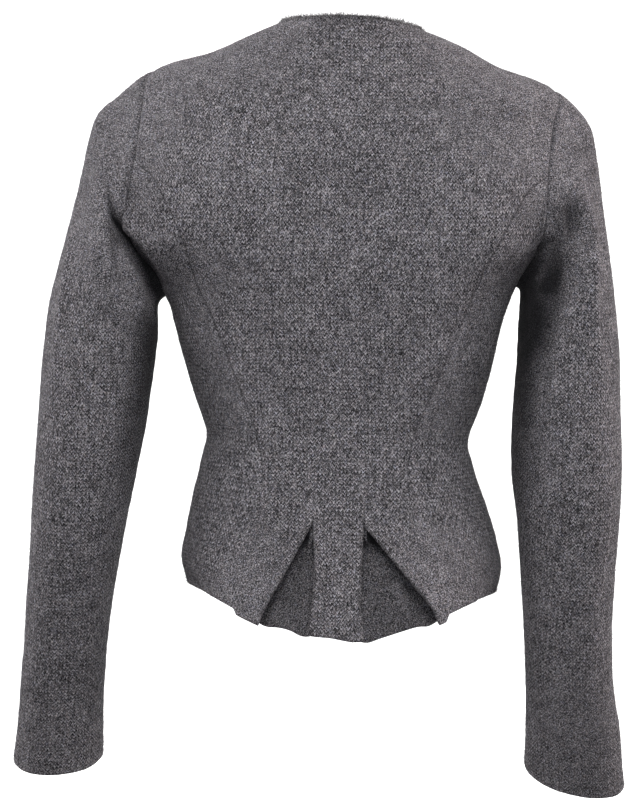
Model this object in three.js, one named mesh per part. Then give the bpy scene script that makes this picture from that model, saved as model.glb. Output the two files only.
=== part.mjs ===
// A short, fitted, collarless cardigan jacket of boiled wool, hollow, in the pose of a wearer
// whose arms hang down.  Millimetres, +Z up, the back faces -Y and the wearer's right is +X.
// The origin is between the shoulders at the height of the neckline, where a wearer holds it up.
// Every cloth piece is a wall of one thickness on one shared body surface (or on a sleeve tube),
// and neighbouring pieces keep a narrow gap at their seam.
import * as THREE from 'three';

// ------------------------------------------------------------------ sizes
const WALL = 2.6;             // boiled wool, body and sleeves
const PLEAT_WALL = 2.2;       // the pleat underlays, pressed thinner
const SEAM = 0.34;            // gap between two pieces along a seam
const OVERLAP = 15;           // each front passes the centre by this much
const UNDER_DROP = WALL + 1.2; // how far the under front lies behind the upper one
const BUTTON_R = 9;           // button radius
const BUTTON_T = 3.2;         // button thickness
const BUTTON_GAP = 1.0;       // button to cloth
const BUST = { x: 82, z: -228, out: 8, wide: 44, high: 52 };   // fullness of each front

// ------------------------------------------------------------------ body levels, hem to neck
// z at the middle of the back, at both side seams and at the middle of the front; half widths
// left and right; y of the side seam, of the back and of the front; squareness of each half; and how
// softly a level dips from its sides to its middle.
const BODY_COLUMNS = ['back_z', 'left_z', 'right_z', 'front_z', 'left_w', 'right_w',
  'side_y', 'back_y', 'front_y', 'back_sq', 'front_sq', 'ease'];
const BODY = readTable(BODY_COLUMNS, {
  hem:        [-526, -494, -492, -499, 125, 140, -6, -127, 108, 2.3, 2.2, 3.8],
  skirt:      [-500, -472, -470, -477, 131, 143.5, -6, -120, 106, 2.3, 2.2, 3.4],
  flare:      [-466, -447, -445, -449, 128, 138, -6, -109, 102, 2.3, 2.2, 3],
  spring:     [-436, -422, -421, -422, 124, 130, -6, -98, 98, 2.3, 2.2, 2.6],
  low_waist:  [-398, -392, -391, -392, 118, 118, -5, -88, 93, 2.4, 2.2, 2.3],
  waist:      [-364, -363, -362, -362, 115.5, 112.5, -4, -84, 90, 2.4, 2.2, 2],
  high_waist: [-330, -331, -330, -330, 126, 122, -3, -88, 92, 2.4, 2.2, 2],
  low_ribs:   [-298, -300, -298, -298, 136.5, 130, -2, -96, 98, 2.4, 2.2, 2],
  ribs:       [-266, -272, -264, -266, 145, 136, -1, -104, 107, 2.4, 2.2, 2],
  armpit:     [-236, -249, -229, -236, 154, 147.5, 0, -111, 113, 2.5, 2.2, 2],
  underarm:   [-205, -207, -197, -207, 190, 167, -2, -115, 115, 2.8, 2.3, 2],
  chest:      [-173, -166, -161, -181, 190, 170.5, -5, -115, 112, 3.0, 2.4, 1.8],
  blade:      [-141, -129, -128, -158, 184, 170.5, -7, -111, 104, 2.9, 2.4, 1.6],
  yoke:       [-111, -88, -90, -140, 177, 171, -9, -103, 94, 2.6, 2.3, 1.4],
  tip:        [-85, -55.5, -59.5, -124, 169, 171, -9, -93.5, 83, 2.4, 2.3, 1.25],
  shoulder:   [-60, -39, -41, -110, 122, 123, -11, -83.5, 71, 2.25, 2.2, 1.3],
  collar:     [-36, -24.5, -26, -99, 91, 91, -13, -74, 60, 2.15, 2.1, 1.6],
  neck:       [-10.5, -11.5, -15, -88, 61, 57, -15, -65, 46, 2.1, 2.0, 2],
});
const ROW = Object.fromEntries(Object.keys(BODY).map((name, i) => [name, i]));
const LEVELS = Object.values(BODY);

// princess seams on the back: x of each seam at each level, hem to blade
const PRINCESS = readTable(['left_x', 'right_x'], {
  hem: [-106, 119], skirt: [-95, 104], flare: [-79, 82], spring: [-67, 65], low_waist: [-63, 58],
  waist: [-70, 61.5], high_waist: [-84, 74], low_ribs: [-97, 86], ribs: [-110, 98.5],
  armpit: [-123, 111], underarm: [-136.5, 124.5], chest: [-154.5, 142], blade: [-176.5, 163.5],
});
const PRINCESS_ROWS = Object.values(PRINCESS);

// armhole: how far the edge stands from the side line, in degrees round the body, at each level
const ARMHOLE = readTable(['back_deg', 'front_deg'], {
  armpit: [22, 22], underarm: [20, 25], chest: [21.5, 29], blade: [21, 30], yoke: [19, 27], tip: [19, 24],
});
const ARMHOLE_ROWS = Object.values(ARMHOLE);

// ------------------------------------------------------------------ sleeves, armhole to cuff
// outer and inner point of each section in x and z, y of its middle, half depth, squareness, and
// the share of the armhole's own shape that the section still has.
const SLEEVE_COLUMNS = ['out_x', 'out_z', 'in_x', 'in_z', 'mid_y', 'depth', 'square', 'carry'];
const SLEEVE_LEFT = readTable(SLEEVE_COLUMNS, {
  armhole: [-169, -55.5, -154, -249, -8, 52, 2.0, 1],
  cap_low: [-184, -66, -158, -251.5, -9, 54, 2.0, 0.95],
  cap_mid: [-201, -80, -160, -255, -9, 56, 2.0, 0.87],
  cap_top: [-216, -93.5, -160.5, -259, -9, 57, 2.0, 0.77],
  corner:  [-222.5, -113, -160.5, -264, -9, 57, 2.05, 0.65],
  deltoid: [-229.5, -150, -160, -271, -9, 56.5, 2.1, 0.46],
  upper:   [-237.5, -188, -159.5, -279, -9, 56, 2.1, 0.28],
  biceps:  [-245.5, -224, -159.5, -290, -10, 55.5, 2.1, 0.13],
  arm:     [-253, -262, -160.5, -307, -11, 55, 2.1, 0.04],
  above:   [-256.5, -302, -163, -331, -12, 54, 2.1, 0],
  elbow:   [-258, -342, -166.5, -363, -12, 52.5, 2.1, 0],
  below:   [-260, -384, -171.5, -395, -9, 51, 2.1, 0],
  fore_a:  [-262, -431, -178.5, -433, -2, 49, 2.1, 0],
  fore_b:  [-264, -480, -186, -478, 9, 47, 2.1, 0],
  fore_c:  [-267, -525, -192.5, -521, 23, 45, 2.1, 0],
  low_a:   [-270, -570, -197, -564, 38, 43.5, 2.1, 0],
  low_b:   [-273.5, -615, -199, -609, 53, 42, 2.1, 0],
  cuff:    [-278, -663, -198.5, -657, 68, 41, 2.1, 0],
});
const SLEEVE_RIGHT = readTable(SLEEVE_COLUMNS, {
  armhole: [171, -59.5, 147.5, -229, -8, 52, 2.0, 1],
  cap_low: [186, -70, 151.5, -231, -9, 54, 2.0, 0.95],
  cap_mid: [198, -80.5, 152.5, -234, -9, 56, 2.0, 0.87],
  cap_top: [206, -92.5, 152.5, -238, -9, 57, 2.0, 0.77],
  corner:  [211, -113, 152.5, -244, -9, 57, 2.05, 0.65],
  deltoid: [217, -148, 152, -252, -9, 56.5, 2.1, 0.46],
  upper:   [223.5, -185, 151.5, -261, -9, 56, 2.1, 0.28],
  biceps:  [229.5, -222, 151, -273, -10, 55.5, 2.1, 0.13],
  arm:     [235.5, -262, 150.5, -291, -11, 55, 2.1, 0.04],
  above:   [239, -304, 149.5, -321, -12, 54, 2.1, 0],
  elbow:   [241.5, -346, 148.5, -357, -12, 52.5, 2.1, 0],
  below:   [244, -388, 150.5, -393, -9, 51, 2.1, 0],
  fore_a:  [244.5, -432, 157, -433, -2, 49, 2.1, 0],
  fore_b:  [244, -480, 163, -480, 9, 47, 2.1, 0],
  fore_c:  [245.5, -527, 168.5, -527, 23, 45, 2.1, 0],
  low_a:   [250.5, -573, 173.5, -573, 38, 43.5, 2.1, 0],
  low_b:   [260, -618, 176.5, -616, 53, 42, 2.1, 0],
  cuff:    [267.5, -666, 178, -653, 68, 41, 2.1, 0],
});

// ------------------------------------------------------------------ back slits and pleats
// x of the strip edge and of the flap edge from the slit's top (0) to the hem (1)
const SLIT_TOP = ROW.spring;
const SLIT_STEPS = [0, 0.35, 0.68, 1];
const SLIT_LEFT = { strip: [-20, -17, -18, -22], flap_top: -20, flap_hem: -60 };
const SLIT_RIGHT = { strip: [23, 22, 22, 26], flap_top: 23, flap_hem: 86 };
const FLAP_LIFT = 4.5;        // the free flap edge stands this far off the body surface at the hem
const FLAP_REACH = 34;        // ... and the lift fades over this length
// section of an underlay, strip side to flap side: from which edge it is measured, how far past it
// (as a share of the return), how deep behind the body surface at the slit's top and at the hem,
// and how far it follows the lifted flap
const RETURN = 27;            // the fold-back under the flap at the hem
const PLEAT_DROP = 3.6;       // the pleat hangs this much below the flap hem
const PLEAT = readTable(['from_flap', 'along', 'depth_top', 'depth_hem', 'follow'], {
  strip_seam: [0, -0.30, 3.4, 3.8, 0],
  strip_edge: [0, 0.12, 3.8, 5.6, 0],
  floor_a:    [0, 0.55, 5.2, 8.8, 0],
  floor_b:    [1, -0.45, 6.2, 10.2, 0],
  flap_edge:  [1, 0.15, 6.6, 10.4, 0],
  floor_end:  [1, 0.80, 6.6, 10.2, 0],
  turn_a:     [1, 0.96, 6.5, 9.6, 0.2],
  turn_b:     [1, 1.00, 6.1, 8.2, 0.6],
  turn_c:     [1, 0.94, 5.7, 6.8, 0.9],
  back_a:     [1, 0.60, 5.6, 6.1, 1],
  back_end:   [1, 0.08, 5.6, 5.8, 1],
});

// button heights at the centre of the front
const BUTTON_Z = [-112, -172, -232, -292, -352, -412];

// ------------------------------------------------------------------ small tools
function readTable(columns, rows) {
  return Object.fromEntries(Object.entries(rows).map(([name, values]) =>
    [name, Object.fromEntries(columns.map((c, i) => [c, values[i]]))]));
}
const clamp = (x, lo, hi) => Math.min(hi, Math.max(lo, x));
const smooth = (x) => { const t = clamp(x, 0, 1); return t * t * (3 - 2 * t); };
const lerp = (a, b, t) => a + (b - a) * t;

// value of a table column between its rows, as a smooth curve through them
function column(rows, key, r) {
  const n = rows.length - 1;
  const i = clamp(Math.floor(r), 0, n - 1);
  const t = clamp(r - i, 0, 1);
  const at = (k) => rows[clamp(k, 0, n)][key];
  const p0 = i > 0 ? at(i - 1) : 2 * at(0) - at(1);
  const p3 = i + 2 <= n ? at(i + 2) : 2 * at(n) - at(n - 1);
  const p1 = at(i), p2 = at(i + 1);
  return 0.5 * (2 * p1 + (p2 - p0) * t + (2 * p0 - 5 * p1 + 4 * p2 - p3) * t * t
    + (3 * p1 - p0 - 3 * p2 + p3) * t * t * t);
}
function listAt(steps, values, t) {
  for (let i = 0; i < steps.length - 1; i++) {
    if (t <= steps[i + 1]) return lerp(values[i], values[i + 1], (t - steps[i]) / (steps[i + 1] - steps[i]));
  }
  return values[values.length - 1];
}

// ------------------------------------------------------------------ the body surface
// r: level, hem 0 to neck; a: angle from the middle of the back, radians, + to the right
function level(r) {
  return Object.fromEntries(BODY_COLUMNS.map((c) => [c, column(LEVELS, c, r)]));
}
function bodyPoint(r, a) {
  const L = level(r);
  const s = Math.sin(a), c = Math.cos(a);
  const right = s >= 0, back = c >= 0;
  const w = right ? L.right_w : L.left_w;
  const q = back ? L.back_sq : L.front_sq;
  const x = w * Math.sign(s) * Math.pow(Math.abs(s), 2 / q);
  const reach = back ? L.back_y - L.side_y : L.front_y - L.side_y;
  let y = L.side_y + reach * Math.pow(Math.abs(c), 2 / q);
  const zs = right ? L.right_z : L.left_z;
  const z = zs + ((back ? L.back_z : L.front_z) - zs) * Math.pow(Math.abs(c), L.ease);
  if (!back) {
    for (const side of [-1, 1]) {
      const u = (x - side * BUST.x) / BUST.wide, v = (z - BUST.z) / BUST.high;
      y += BUST.out * Math.exp(-u * u - v * v) * Math.abs(c);
    }
  }
  return new THREE.Vector3(x, y, z);
}
function bodyNormal(r, a) {
  const da = 0.02, dr = 0.04;
  const u = bodyPoint(r, a + da).sub(bodyPoint(r, a - da));
  const top = LEVELS.length - 1;
  const v = bodyPoint(clamp(r + dr, 0, top), a).sub(bodyPoint(clamp(r - dr, 0, top), a));
  return u.cross(v).normalize();
}
function angleAtX(r, x, onFront = false) {
  const L = level(r);
  const w = x >= 0 ? L.right_w : L.left_w;
  const q = onFront ? L.front_sq : L.back_sq;
  const a = Math.asin(clamp(Math.pow(Math.abs(x) / w, q / 2), 0, 1)) * Math.sign(x || 1);
  return onFront ? Math.PI * Math.sign(x || 1) - a : a;
}
// angle of the armhole edge (or of the side and shoulder seams) at a level; side -1 left, 1 right
function edgeAngle(r, side, onFront) {
  const lo = ROW.armpit, hi = ROW.tip;
  let off = 0;
  if (r > lo && r < hi) {
    const k = column(ARMHOLE_ROWS, onFront ? 'front_deg' : 'back_deg', r - lo);
    off = THREE.MathUtils.degToRad(k) * Math.pow(Math.sin(Math.PI * (r - lo) / (hi - lo)), 0.42);
  }
  return side * (Math.PI / 2 + (onFront ? off : -off));
}

// points along one level between two angles, even in length; `shares` are positions 0..1
function alongLevel(r, a0, a1, shares, trim0, trim1) {
  const n = 96, pts = [], len = [0];
  for (let i = 0; i <= n; i++) {
    pts.push(bodyPoint(r, lerp(a0, a1, i / n)));
    if (i) len.push(len[i - 1] + pts[i].distanceTo(pts[i - 1]));
  }
  const total = len[n];
  return shares.map((s) => {
    const want = clamp(lerp(trim0, total - trim1, s), 0, total);
    let i = 0;
    while (i < n - 1 && len[i + 1] < want) i++;
    const t = (want - len[i]) / Math.max(len[i + 1] - len[i], 1e-9);
    return lerp(a0, a1, (i + t) / n);
  });
}

// ------------------------------------------------------------------ walls
// cells: quads of vertex numbers, counter-clockwise from outside; outer, inner: vertex positions
function wall(cells, outer, inner) {
  const n = outer.length, index = [], edges = new Map();
  for (const [a, b, c, d] of cells) {
    index.push(a, b, c, a, c, d, n + a, n + c, n + b, n + a, n + d, n + c);
    for (const [p, q] of [[a, b], [b, c], [c, d], [d, a]]) {
      const back = `${q}_${p}`;
      if (edges.has(back)) edges.delete(back); else edges.set(`${p}_${q}`, [p, q]);
    }
  }
  // end faces: the diagonal always runs down from the outer face, so two walls that meet at a
  // seam have the same end face
  for (const [p, q] of edges.values()) {
    if (outer[q].z >= outer[p].z) index.push(q, p, n + p, q, n + p, n + q);
    else index.push(q, p, n + q, p, n + p, n + q);
  }
  const g = new THREE.BufferGeometry();
  const pos = new Float32Array(6 * n);
  [...outer, ...inner].forEach((v, i) => v.toArray(pos, 3 * i));
  g.setAttribute('position', new THREE.BufferAttribute(pos, 3));
  g.setIndex(index);
  g.computeVertexNormals();
  return g;
}
function gridCells(rows, cols, closed = false) {
  const cells = [];
  const span = closed ? cols : cols - 1;
  for (let i = 0; i < rows - 1; i++) {
    for (let j = 0; j < span; j++) {
      const k = (j + 1) % cols;
      cells.push([i * cols + j, i * cols + k, (i + 1) * cols + k, (i + 1) * cols + j]);
    }
  }
  return cells;
}

// ------------------------------------------------------------------ sleeves
const CAP_ROWS = [14, 13.85, 13.5, 13, 12, 11.8, 11, 10, 9.5, 9.15, 9];
function armholeRim(side) {
  const rim = [];
  for (const r of CAP_ROWS) rim.push({ r, a: edgeAngle(r, side, false) });
  for (const r of CAP_ROWS.slice(1, -1).reverse()) rim.push({ r, a: edgeAngle(r, side, true) });
  for (const p of rim) {
    p.point = bodyPoint(p.r, p.a);
    p.normal = bodyNormal(p.r, p.a);
  }
  return rim;
}
// sections of a sleeve as rings of points; the first ring is the armhole itself
function sleeveRings(side, steps) {
  const table = Object.values(side < 0 ? SLEEVE_LEFT : SLEEVE_RIGHT);
  const rim = armholeRim(side);
  const half = CAP_ROWS.length - 1, count = rim.length;
  const frame = (k) => {
    const S = Object.fromEntries(SLEEVE_COLUMNS.map((c) => [c, column(table, c, k)]));
    const out = new THREE.Vector3(S.out_x, S.mid_y, S.out_z);
    const inn = new THREE.Vector3(S.in_x, S.mid_y, S.in_z);
    const mid = out.clone().add(inn).multiplyScalar(0.5);
    return { S, out, inn, mid, half: out.distanceTo(inn) / 2 };
  };
  const f0 = frame(0);
  const axes = (f, lean) => {
    const e = f.out.clone().sub(f.inn).normalize();
    const back = new THREE.Vector3(0, -Math.cos(lean), -Math.sin(lean));
    const along = new THREE.Vector3().crossVectors(e, back).multiplyScalar(side).normalize();
    return { e, back, along };
  };
  const ax0 = axes(f0, 0);
  const local = rim.map((p) => {
    const d = p.point.clone().sub(f0.mid);
    return [d.dot(ax0.e) / f0.half, d.dot(ax0.back) / f0.S.depth, d.dot(ax0.along)];
  });
  const rings = steps.map((k) => {
    const f = frame(k), ahead = frame(Math.min(k + 0.5, table.length - 1)), behind = frame(Math.max(k - 0.5, 0));
    const run = ahead.mid.clone().sub(behind.mid);
    const lean = Math.atan2(run.y, Math.abs(run.z)) * smooth((k - 7) / 4);
    const ax = axes(f, lean);
    return rim.map((p, j) => {
      const t = j <= half ? Math.PI * j / half : Math.PI + Math.PI * (j - half) / (count - half);
      const ex = Math.sign(Math.cos(t)) * Math.pow(Math.abs(Math.cos(t)), 2 / f.S.square);
      const dy = Math.sign(Math.sin(t)) * Math.pow(Math.abs(Math.sin(t)), 2 / f.S.square);
      const c = f.S.carry;
      const pin = Math.abs(Math.cos(t)) > 0.999 ? Math.sign(Math.cos(t)) : lerp(ex, local[j][0], c);
      const q = f.mid.clone().addScaledVector(ax.e, pin * f.half)
        .addScaledVector(ax.back, lerp(dy, local[j][1], c) * f.S.depth);
      const bow = Math.abs(Math.cos(t)) > 0.999 ? 0 : local[j][2] * c;
      return q.addScaledVector(ax.along, bow);
    });
  });
  rings[0] = steps[0] === 0 ? rim.map((p) => p.point.clone()) : rings[0];
  return { rings, rim };
}
function ringNormals(rings, side) {
  const m = rings[0].length;
  return rings.map((ring, k) => ring.map((p, j) => {
    const ahead = rings[Math.min(k + 1, rings.length - 1)][j], behind = rings[Math.max(k - 1, 0)][j];
    const u = ring[(j + 1) % m].clone().sub(ring[(j + m - 1) % m]);
    const v = ahead.clone().sub(behind);
    return u.cross(v).multiplyScalar(side).normalize();
  }));
}
const SLEEVE_STEPS = [0, 0.5, 1, 2, 3, 4, 5, 6, 7, 8, 9, 10, 11, 12, 13, 14, 15, 16, 17];
const sleeves = {};
for (const side of [-1, 1]) {
  const { rings, rim } = sleeveRings(side, SLEEVE_STEPS);
  const normals = ringNormals(rings, side);
  // where a body piece and the sleeve meet, both walls end on the same slanted face
  rim.forEach((p, j) => {
    p.seam = p.normal.clone().add(normals[0][j]).normalize();
    const go = rings[1][j].clone().sub(rings[0][j]);
    p.away = go.addScaledVector(p.seam, -go.dot(p.seam)).normalize();
  });
  sleeves[side] = { rings, normals, rim };
}
function seamOf(side, r, onFront) {
  return sleeves[side].rim.find((p, j) => Math.abs(p.r - r) < 1e-6
    && (onFront ? (j === 0 || j >= CAP_ROWS.length - 1) : j < CAP_ROWS.length));
}
function sleeveMesh(side) {
  const { rings, normals, rim } = sleeves[side];
  const m = rim.length, outer = [], inner = [];
  rings.forEach((ring, k) => ring.forEach((p, j) => {
    if (k === 0) {
      const q = p.clone().addScaledVector(rim[j].away, SEAM);
      outer.push(q);
      inner.push(q.clone().addScaledVector(rim[j].seam, -WALL));
    } else {
      outer.push(p.clone());
      inner.push(p.clone().addScaledVector(normals[k][j], -WALL));
    }
  }));
  let cells = gridCells(rings.length, m, true);
  if (side < 0) cells = cells.map(([a, b, c, d]) => [d, c, b, a]);
  return wall(cells, outer, inner);
}

// ------------------------------------------------------------------ body panels
const ROWS_LOW = [0, 0.5, 1, 1.5, 2, 2.5, 3, 4, 5, 6, 7, 8];
const ROWS_ARM = [...CAP_ROWS].reverse();
const ROWS_TOP = [14.5, 15, 15.5, 16, 16.5, 17];
const BODY_ROWS = [...ROWS_LOW, ...ROWS_ARM, ...ROWS_TOP];
const evenly = (n) => Array.from({ length: n + 1 }, (_, i) => i / n);

function princessAngle(r, side) {
  return angleAtX(r, column(PRINCESS_ROWS, side < 0 ? 'left_x' : 'right_x', r));
}
// one vertex of a body panel: outer point and inner point
function place(r, a, out, extra) {
  const p = bodyPoint(r, a), n = bodyNormal(r, a);
  const lift = extra ?? 0;
  return { outer: p.clone().addScaledVector(n, lift), inner: p.clone().addScaledVector(out ?? n, -WALL).addScaledVector(n, lift) };
}
// outward direction of the wall's end face, where a row ends on the armhole
function endFace(r, side, onFront) {
  if (r < ROW.armpit || r > ROW.tip) return undefined;
  const p = seamOf(side, r, onFront);
  return p ? p.seam : undefined;
}

function sideBack(side) {
  const rows = BODY_ROWS.filter((r) => r < 12);
  const cols = 5, outer = [], inner = [];
  for (const r of rows) {
    const a0 = princessAngle(r, side), a1 = edgeAngle(r, side, false);
    const [lo, hi] = side < 0 ? [a1, a0] : [a0, a1];
    const angles = alongLevel(r, lo, hi, evenly(cols - 1), SEAM / 2, SEAM / 2);
    angles.forEach((a, j) => {
      const atArm = side < 0 ? j === 0 : j === cols - 1;
      const end = atArm ? endFace(r, side, false) : undefined;
      const v = place(r, a, end);
      outer.push(v.outer); inner.push(v.inner);
    });
  }
  return wall(gridCells(rows.length, cols), outer, inner);
}

function front(side) {
  const rows = BODY_ROWS, cols = 11, outer = [], inner = [];
  for (const r of rows) {
    const a0 = edgeAngle(r, side, true);
    const past = angleAtX(r, -side * OVERLAP, true);
    const a1 = side > 0 ? past + 2 * Math.PI : past - 2 * Math.PI;
    const [lo, hi] = side < 0 ? [a1, a0] : [a0, a1];
    const angles = alongLevel(r, lo, hi, evenly(cols - 1), SEAM / 2, SEAM / 2);
    angles.forEach((a, j) => {
      const atArm = side < 0 ? j === cols - 1 : j === 0;
      const end = atArm ? endFace(r, side, true) : undefined;
      const x = bodyPoint(r, a).x;
      const tuck = side < 0 ? -UNDER_DROP * smooth((x + OVERLAP + 26) / 20) : 0;
      const v = place(r, a, end, tuck);
      outer.push(v.outer); inner.push(v.inner);
    });
  }
  return wall(gridCells(rows.length, cols), outer, inner);
}

// share of the way from a slit's top to the hem
const slitShare = (r) => clamp((SLIT_TOP - r) / SLIT_TOP, 0, 1);
function slitEdges(r, side) {
  const S = side < 0 ? SLIT_LEFT : SLIT_RIGHT, t = slitShare(r);
  return { strip: listAt(SLIT_STEPS, S.strip, t), flap: lerp(S.flap_top, S.flap_hem, t), t };
}
function backCenter() {
  const rows = BODY_ROWS, flapCols = 5, stripCols = 5;
  const outer = [], inner = [], ids = [];
  const push = (v) => { outer.push(v.outer); inner.push(v.inner); return outer.length - 1; };
  for (const r of rows) {
    const onArm = r >= 12;
    const aL = onArm ? edgeAngle(r, -1, false) : princessAngle(r, -1);
    const aR = onArm ? edgeAngle(r, 1, false) : princessAngle(r, 1);
    const row = [];
    if (r < SLIT_TOP) {
      const L = slitEdges(r, -1), R = slitEdges(r, 1);
      const lift = (x, edge, side) => FLAP_LIFT * L.t * Math.exp(-Math.abs(x - edge) / FLAP_REACH);
      alongLevel(r, aL, angleAtX(r, L.flap), evenly(flapCols - 1), SEAM / 2, 0).forEach((a) =>
        row.push(push(place(r, a, undefined, lift(bodyPoint(r, a).x, L.flap)))));
      alongLevel(r, angleAtX(r, L.strip), angleAtX(r, R.strip), evenly(stripCols - 1), 0, 0).forEach((a) =>
        row.push(push(place(r, a))));
      alongLevel(r, angleAtX(r, R.flap), aR, evenly(flapCols - 1), 0, SEAM / 2).forEach((a) =>
        row.push(push(place(r, a, undefined, lift(bodyPoint(r, a).x, R.flap)))));
    } else {
      // above the slits the columns run on, and share the row evenly by the shoulders
      const top = [slitEdges(SLIT_TOP, -1).strip, slitEdges(SLIT_TOP, 1).strip];
      const g = smooth((r - SLIT_TOP) / 6);
      const span = bodyPoint(r, aR).x - bodyPoint(r, aL).x;
      const sL = lerp((top[0] - bodyPoint(r, aL).x) / span, 1 / 3, g);
      const sR = lerp((top[1] - bodyPoint(r, aL).x) / span, 2 / 3, g);
      const shares = [];
      for (let j = 0; j < flapCols; j++) shares.push(lerp(0, sL, j / (flapCols - 1)));
      for (let j = 1; j < stripCols; j++) shares.push(lerp(sL, sR, j / (stripCols - 1)));
      for (let j = 1; j < flapCols; j++) shares.push(lerp(sR, 1, j / (flapCols - 1)));
      const angles = alongLevel(r, aL, aR, shares, SEAM / 2, SEAM / 2);
      const made = angles.map((a, j) => {
        const side = j === 0 ? -1 : j === angles.length - 1 ? 1 : 0;
        return push(place(r, a, side && onArm ? endFace(r, side, false) : undefined));
      });
      // the two columns on the slit lines are used twice, once by each neighbour
      made.forEach((id, j) => {
        row.push(id);
        if (j === flapCols - 1 || j === flapCols + stripCols - 2) row.push(id);
      });
    }
    ids.push(row);
  }
  const cells = [];
  for (let i = 0; i < ids.length - 1; i++) {
    for (let j = 0; j < ids[i].length - 1; j++) {
      if (j === flapCols - 1 || j === flapCols + stripCols - 1) continue;
      cells.push([ids[i][j], ids[i][j + 1], ids[i + 1][j + 1], ids[i + 1][j]]);
    }
  }
  return wall(cells, outer, inner);
}

// a pleat underlay: one folded wall, from behind the strip, across the opening, under the flap,
// round its fold and back to the flap edge
function pleat(side) {
  const rows = [0, 0.5, 1, 1.5, 2, 2.4, 2.75];
  const sections = Object.values(PLEAT), cols = sections.length;
  const grid = rows.map((r) => {
    const E = slitEdges(r, side);
    const grow = 0.25 + 0.75 * E.t;
    const line = sections.map((p) => {
      const x = (p.from_flap ? E.flap : E.strip) + side * p.along * RETURN * grow;
      const a = angleAtX(r, x);
      const base = bodyPoint(r, a), n = bodyNormal(r, a);
      const lift = p.from_flap ? FLAP_LIFT * E.t * Math.exp(-Math.max(0, p.along) * RETURN * grow / FLAP_REACH) : 0;
      const depth = lerp(p.depth_top, p.depth_hem, E.t) - lift * p.follow;
      base.addScaledVector(n, -depth);
      base.z -= PLEAT_DROP * smooth(E.t * 1.4 - 0.4) * (p.from_flap ? 1 : 0.35);
      return { base, n };
    });
    return line;
  });
  const outer = [], inner = [];
  grid.forEach((line, i) => line.forEach(({ base }, j) => {
    const u = line[Math.min(j + 1, cols - 1)].base.clone().sub(line[Math.max(j - 1, 0)].base);
    const v = grid[Math.min(i + 1, rows.length - 1)][j].base.clone().sub(grid[Math.max(i - 1, 0)][j].base);
    const n = u.cross(v).multiplyScalar(side).normalize();
    outer.push(base.clone());
    inner.push(base.clone().addScaledVector(n, -PLEAT_WALL));
  }));
  let cells = gridCells(rows.length, cols);
  if (side < 0) cells = cells.map(([a, b, c, d]) => [d, c, b, a]);
  return wall(cells, outer, inner);
}

// ------------------------------------------------------------------ buttons
function levelAtFrontZ(z) {
  let lo = 0, hi = LEVELS.length - 1;
  for (let i = 0; i < 40; i++) {
    const mid = (lo + hi) / 2;
    if (column(LEVELS, 'front_z', mid) < z) lo = mid; else hi = mid;
  }
  return (lo + hi) / 2;
}
function buttonGeometry() {
  const R = BUTTON_R, T = BUTTON_T;
  const profile = [[0, 0], [R - 0.8, 0], [R, 1], [R - 0.6, T], [R - 2.4, T - 0.5], [0, T - 0.8]]
    .map(([x, y]) => new THREE.Vector2(x, y));
  return new THREE.LatheGeometry(profile, 16);
}

// ------------------------------------------------------------------ assembly
const group = new THREE.Group();
function cloth(name, geometry, colour, roughness = 0.95) {
  const mesh = new THREE.Mesh(geometry, new THREE.MeshStandardMaterial({ color: colour, roughness, metalness: 0 }));
  mesh.name = name;
  group.add(mesh);
  return mesh;
}
cloth('back_center', backCenter(), 0x5e5c60);
cloth('side_back_left', sideBack(-1), 0x5c5a5e);
cloth('side_back_right', sideBack(1), 0x5c5a5e);
cloth('front_left', front(-1), 0x5e5c60);
cloth('front_right', front(1), 0x5e5c60);
cloth('sleeve_left', sleeveMesh(-1), 0x5d5b5f);
cloth('sleeve_right', sleeveMesh(1), 0x5d5b5f);
cloth('pleat_left', pleat(-1), 0x4b4a4e);
cloth('pleat_right', pleat(1), 0x4b4a4e);

BUTTON_Z.forEach((z, i) => {
  const r = levelAtFrontZ(z);
  const p = bodyPoint(r, Math.PI), n = bodyNormal(r, Math.PI);
  const mesh = new THREE.Mesh(buttonGeometry(),
    new THREE.MeshStandardMaterial({ color: 0x3a3633, roughness: 0.5, metalness: 0 }));
  mesh.name = `button_${i + 1}`;
  mesh.quaternion.setFromUnitVectors(new THREE.Vector3(0, 1, 0), n);
  mesh.position.copy(p).addScaledVector(n, BUTTON_GAP);
  group.add(mesh);
});

export default group;
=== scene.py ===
"""Trachten cardigan: the looks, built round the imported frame.

Everything below is worked out in millimetres on the same body surface and sleeve tubes as the CAD
part, and goes to Blender in metres.  Each cloth piece is one closed shell with rounded edges."""
import math

import bpy
import numpy as np
from mathutils import Matrix, Vector, kdtree


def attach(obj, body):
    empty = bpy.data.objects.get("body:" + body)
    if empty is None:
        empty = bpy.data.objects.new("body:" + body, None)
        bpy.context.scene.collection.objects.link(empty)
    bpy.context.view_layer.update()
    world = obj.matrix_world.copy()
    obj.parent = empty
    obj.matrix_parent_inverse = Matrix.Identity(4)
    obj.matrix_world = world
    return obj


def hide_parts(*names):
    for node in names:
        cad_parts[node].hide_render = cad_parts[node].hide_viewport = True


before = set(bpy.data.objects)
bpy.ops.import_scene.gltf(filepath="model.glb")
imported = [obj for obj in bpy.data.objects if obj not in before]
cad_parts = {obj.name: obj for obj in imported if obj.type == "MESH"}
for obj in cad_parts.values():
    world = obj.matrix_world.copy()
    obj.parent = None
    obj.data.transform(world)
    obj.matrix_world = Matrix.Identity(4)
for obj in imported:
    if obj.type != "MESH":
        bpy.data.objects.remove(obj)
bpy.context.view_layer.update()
MM = 0.001
STEP = 2.5          # size of a cloth cell, mm

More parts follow.
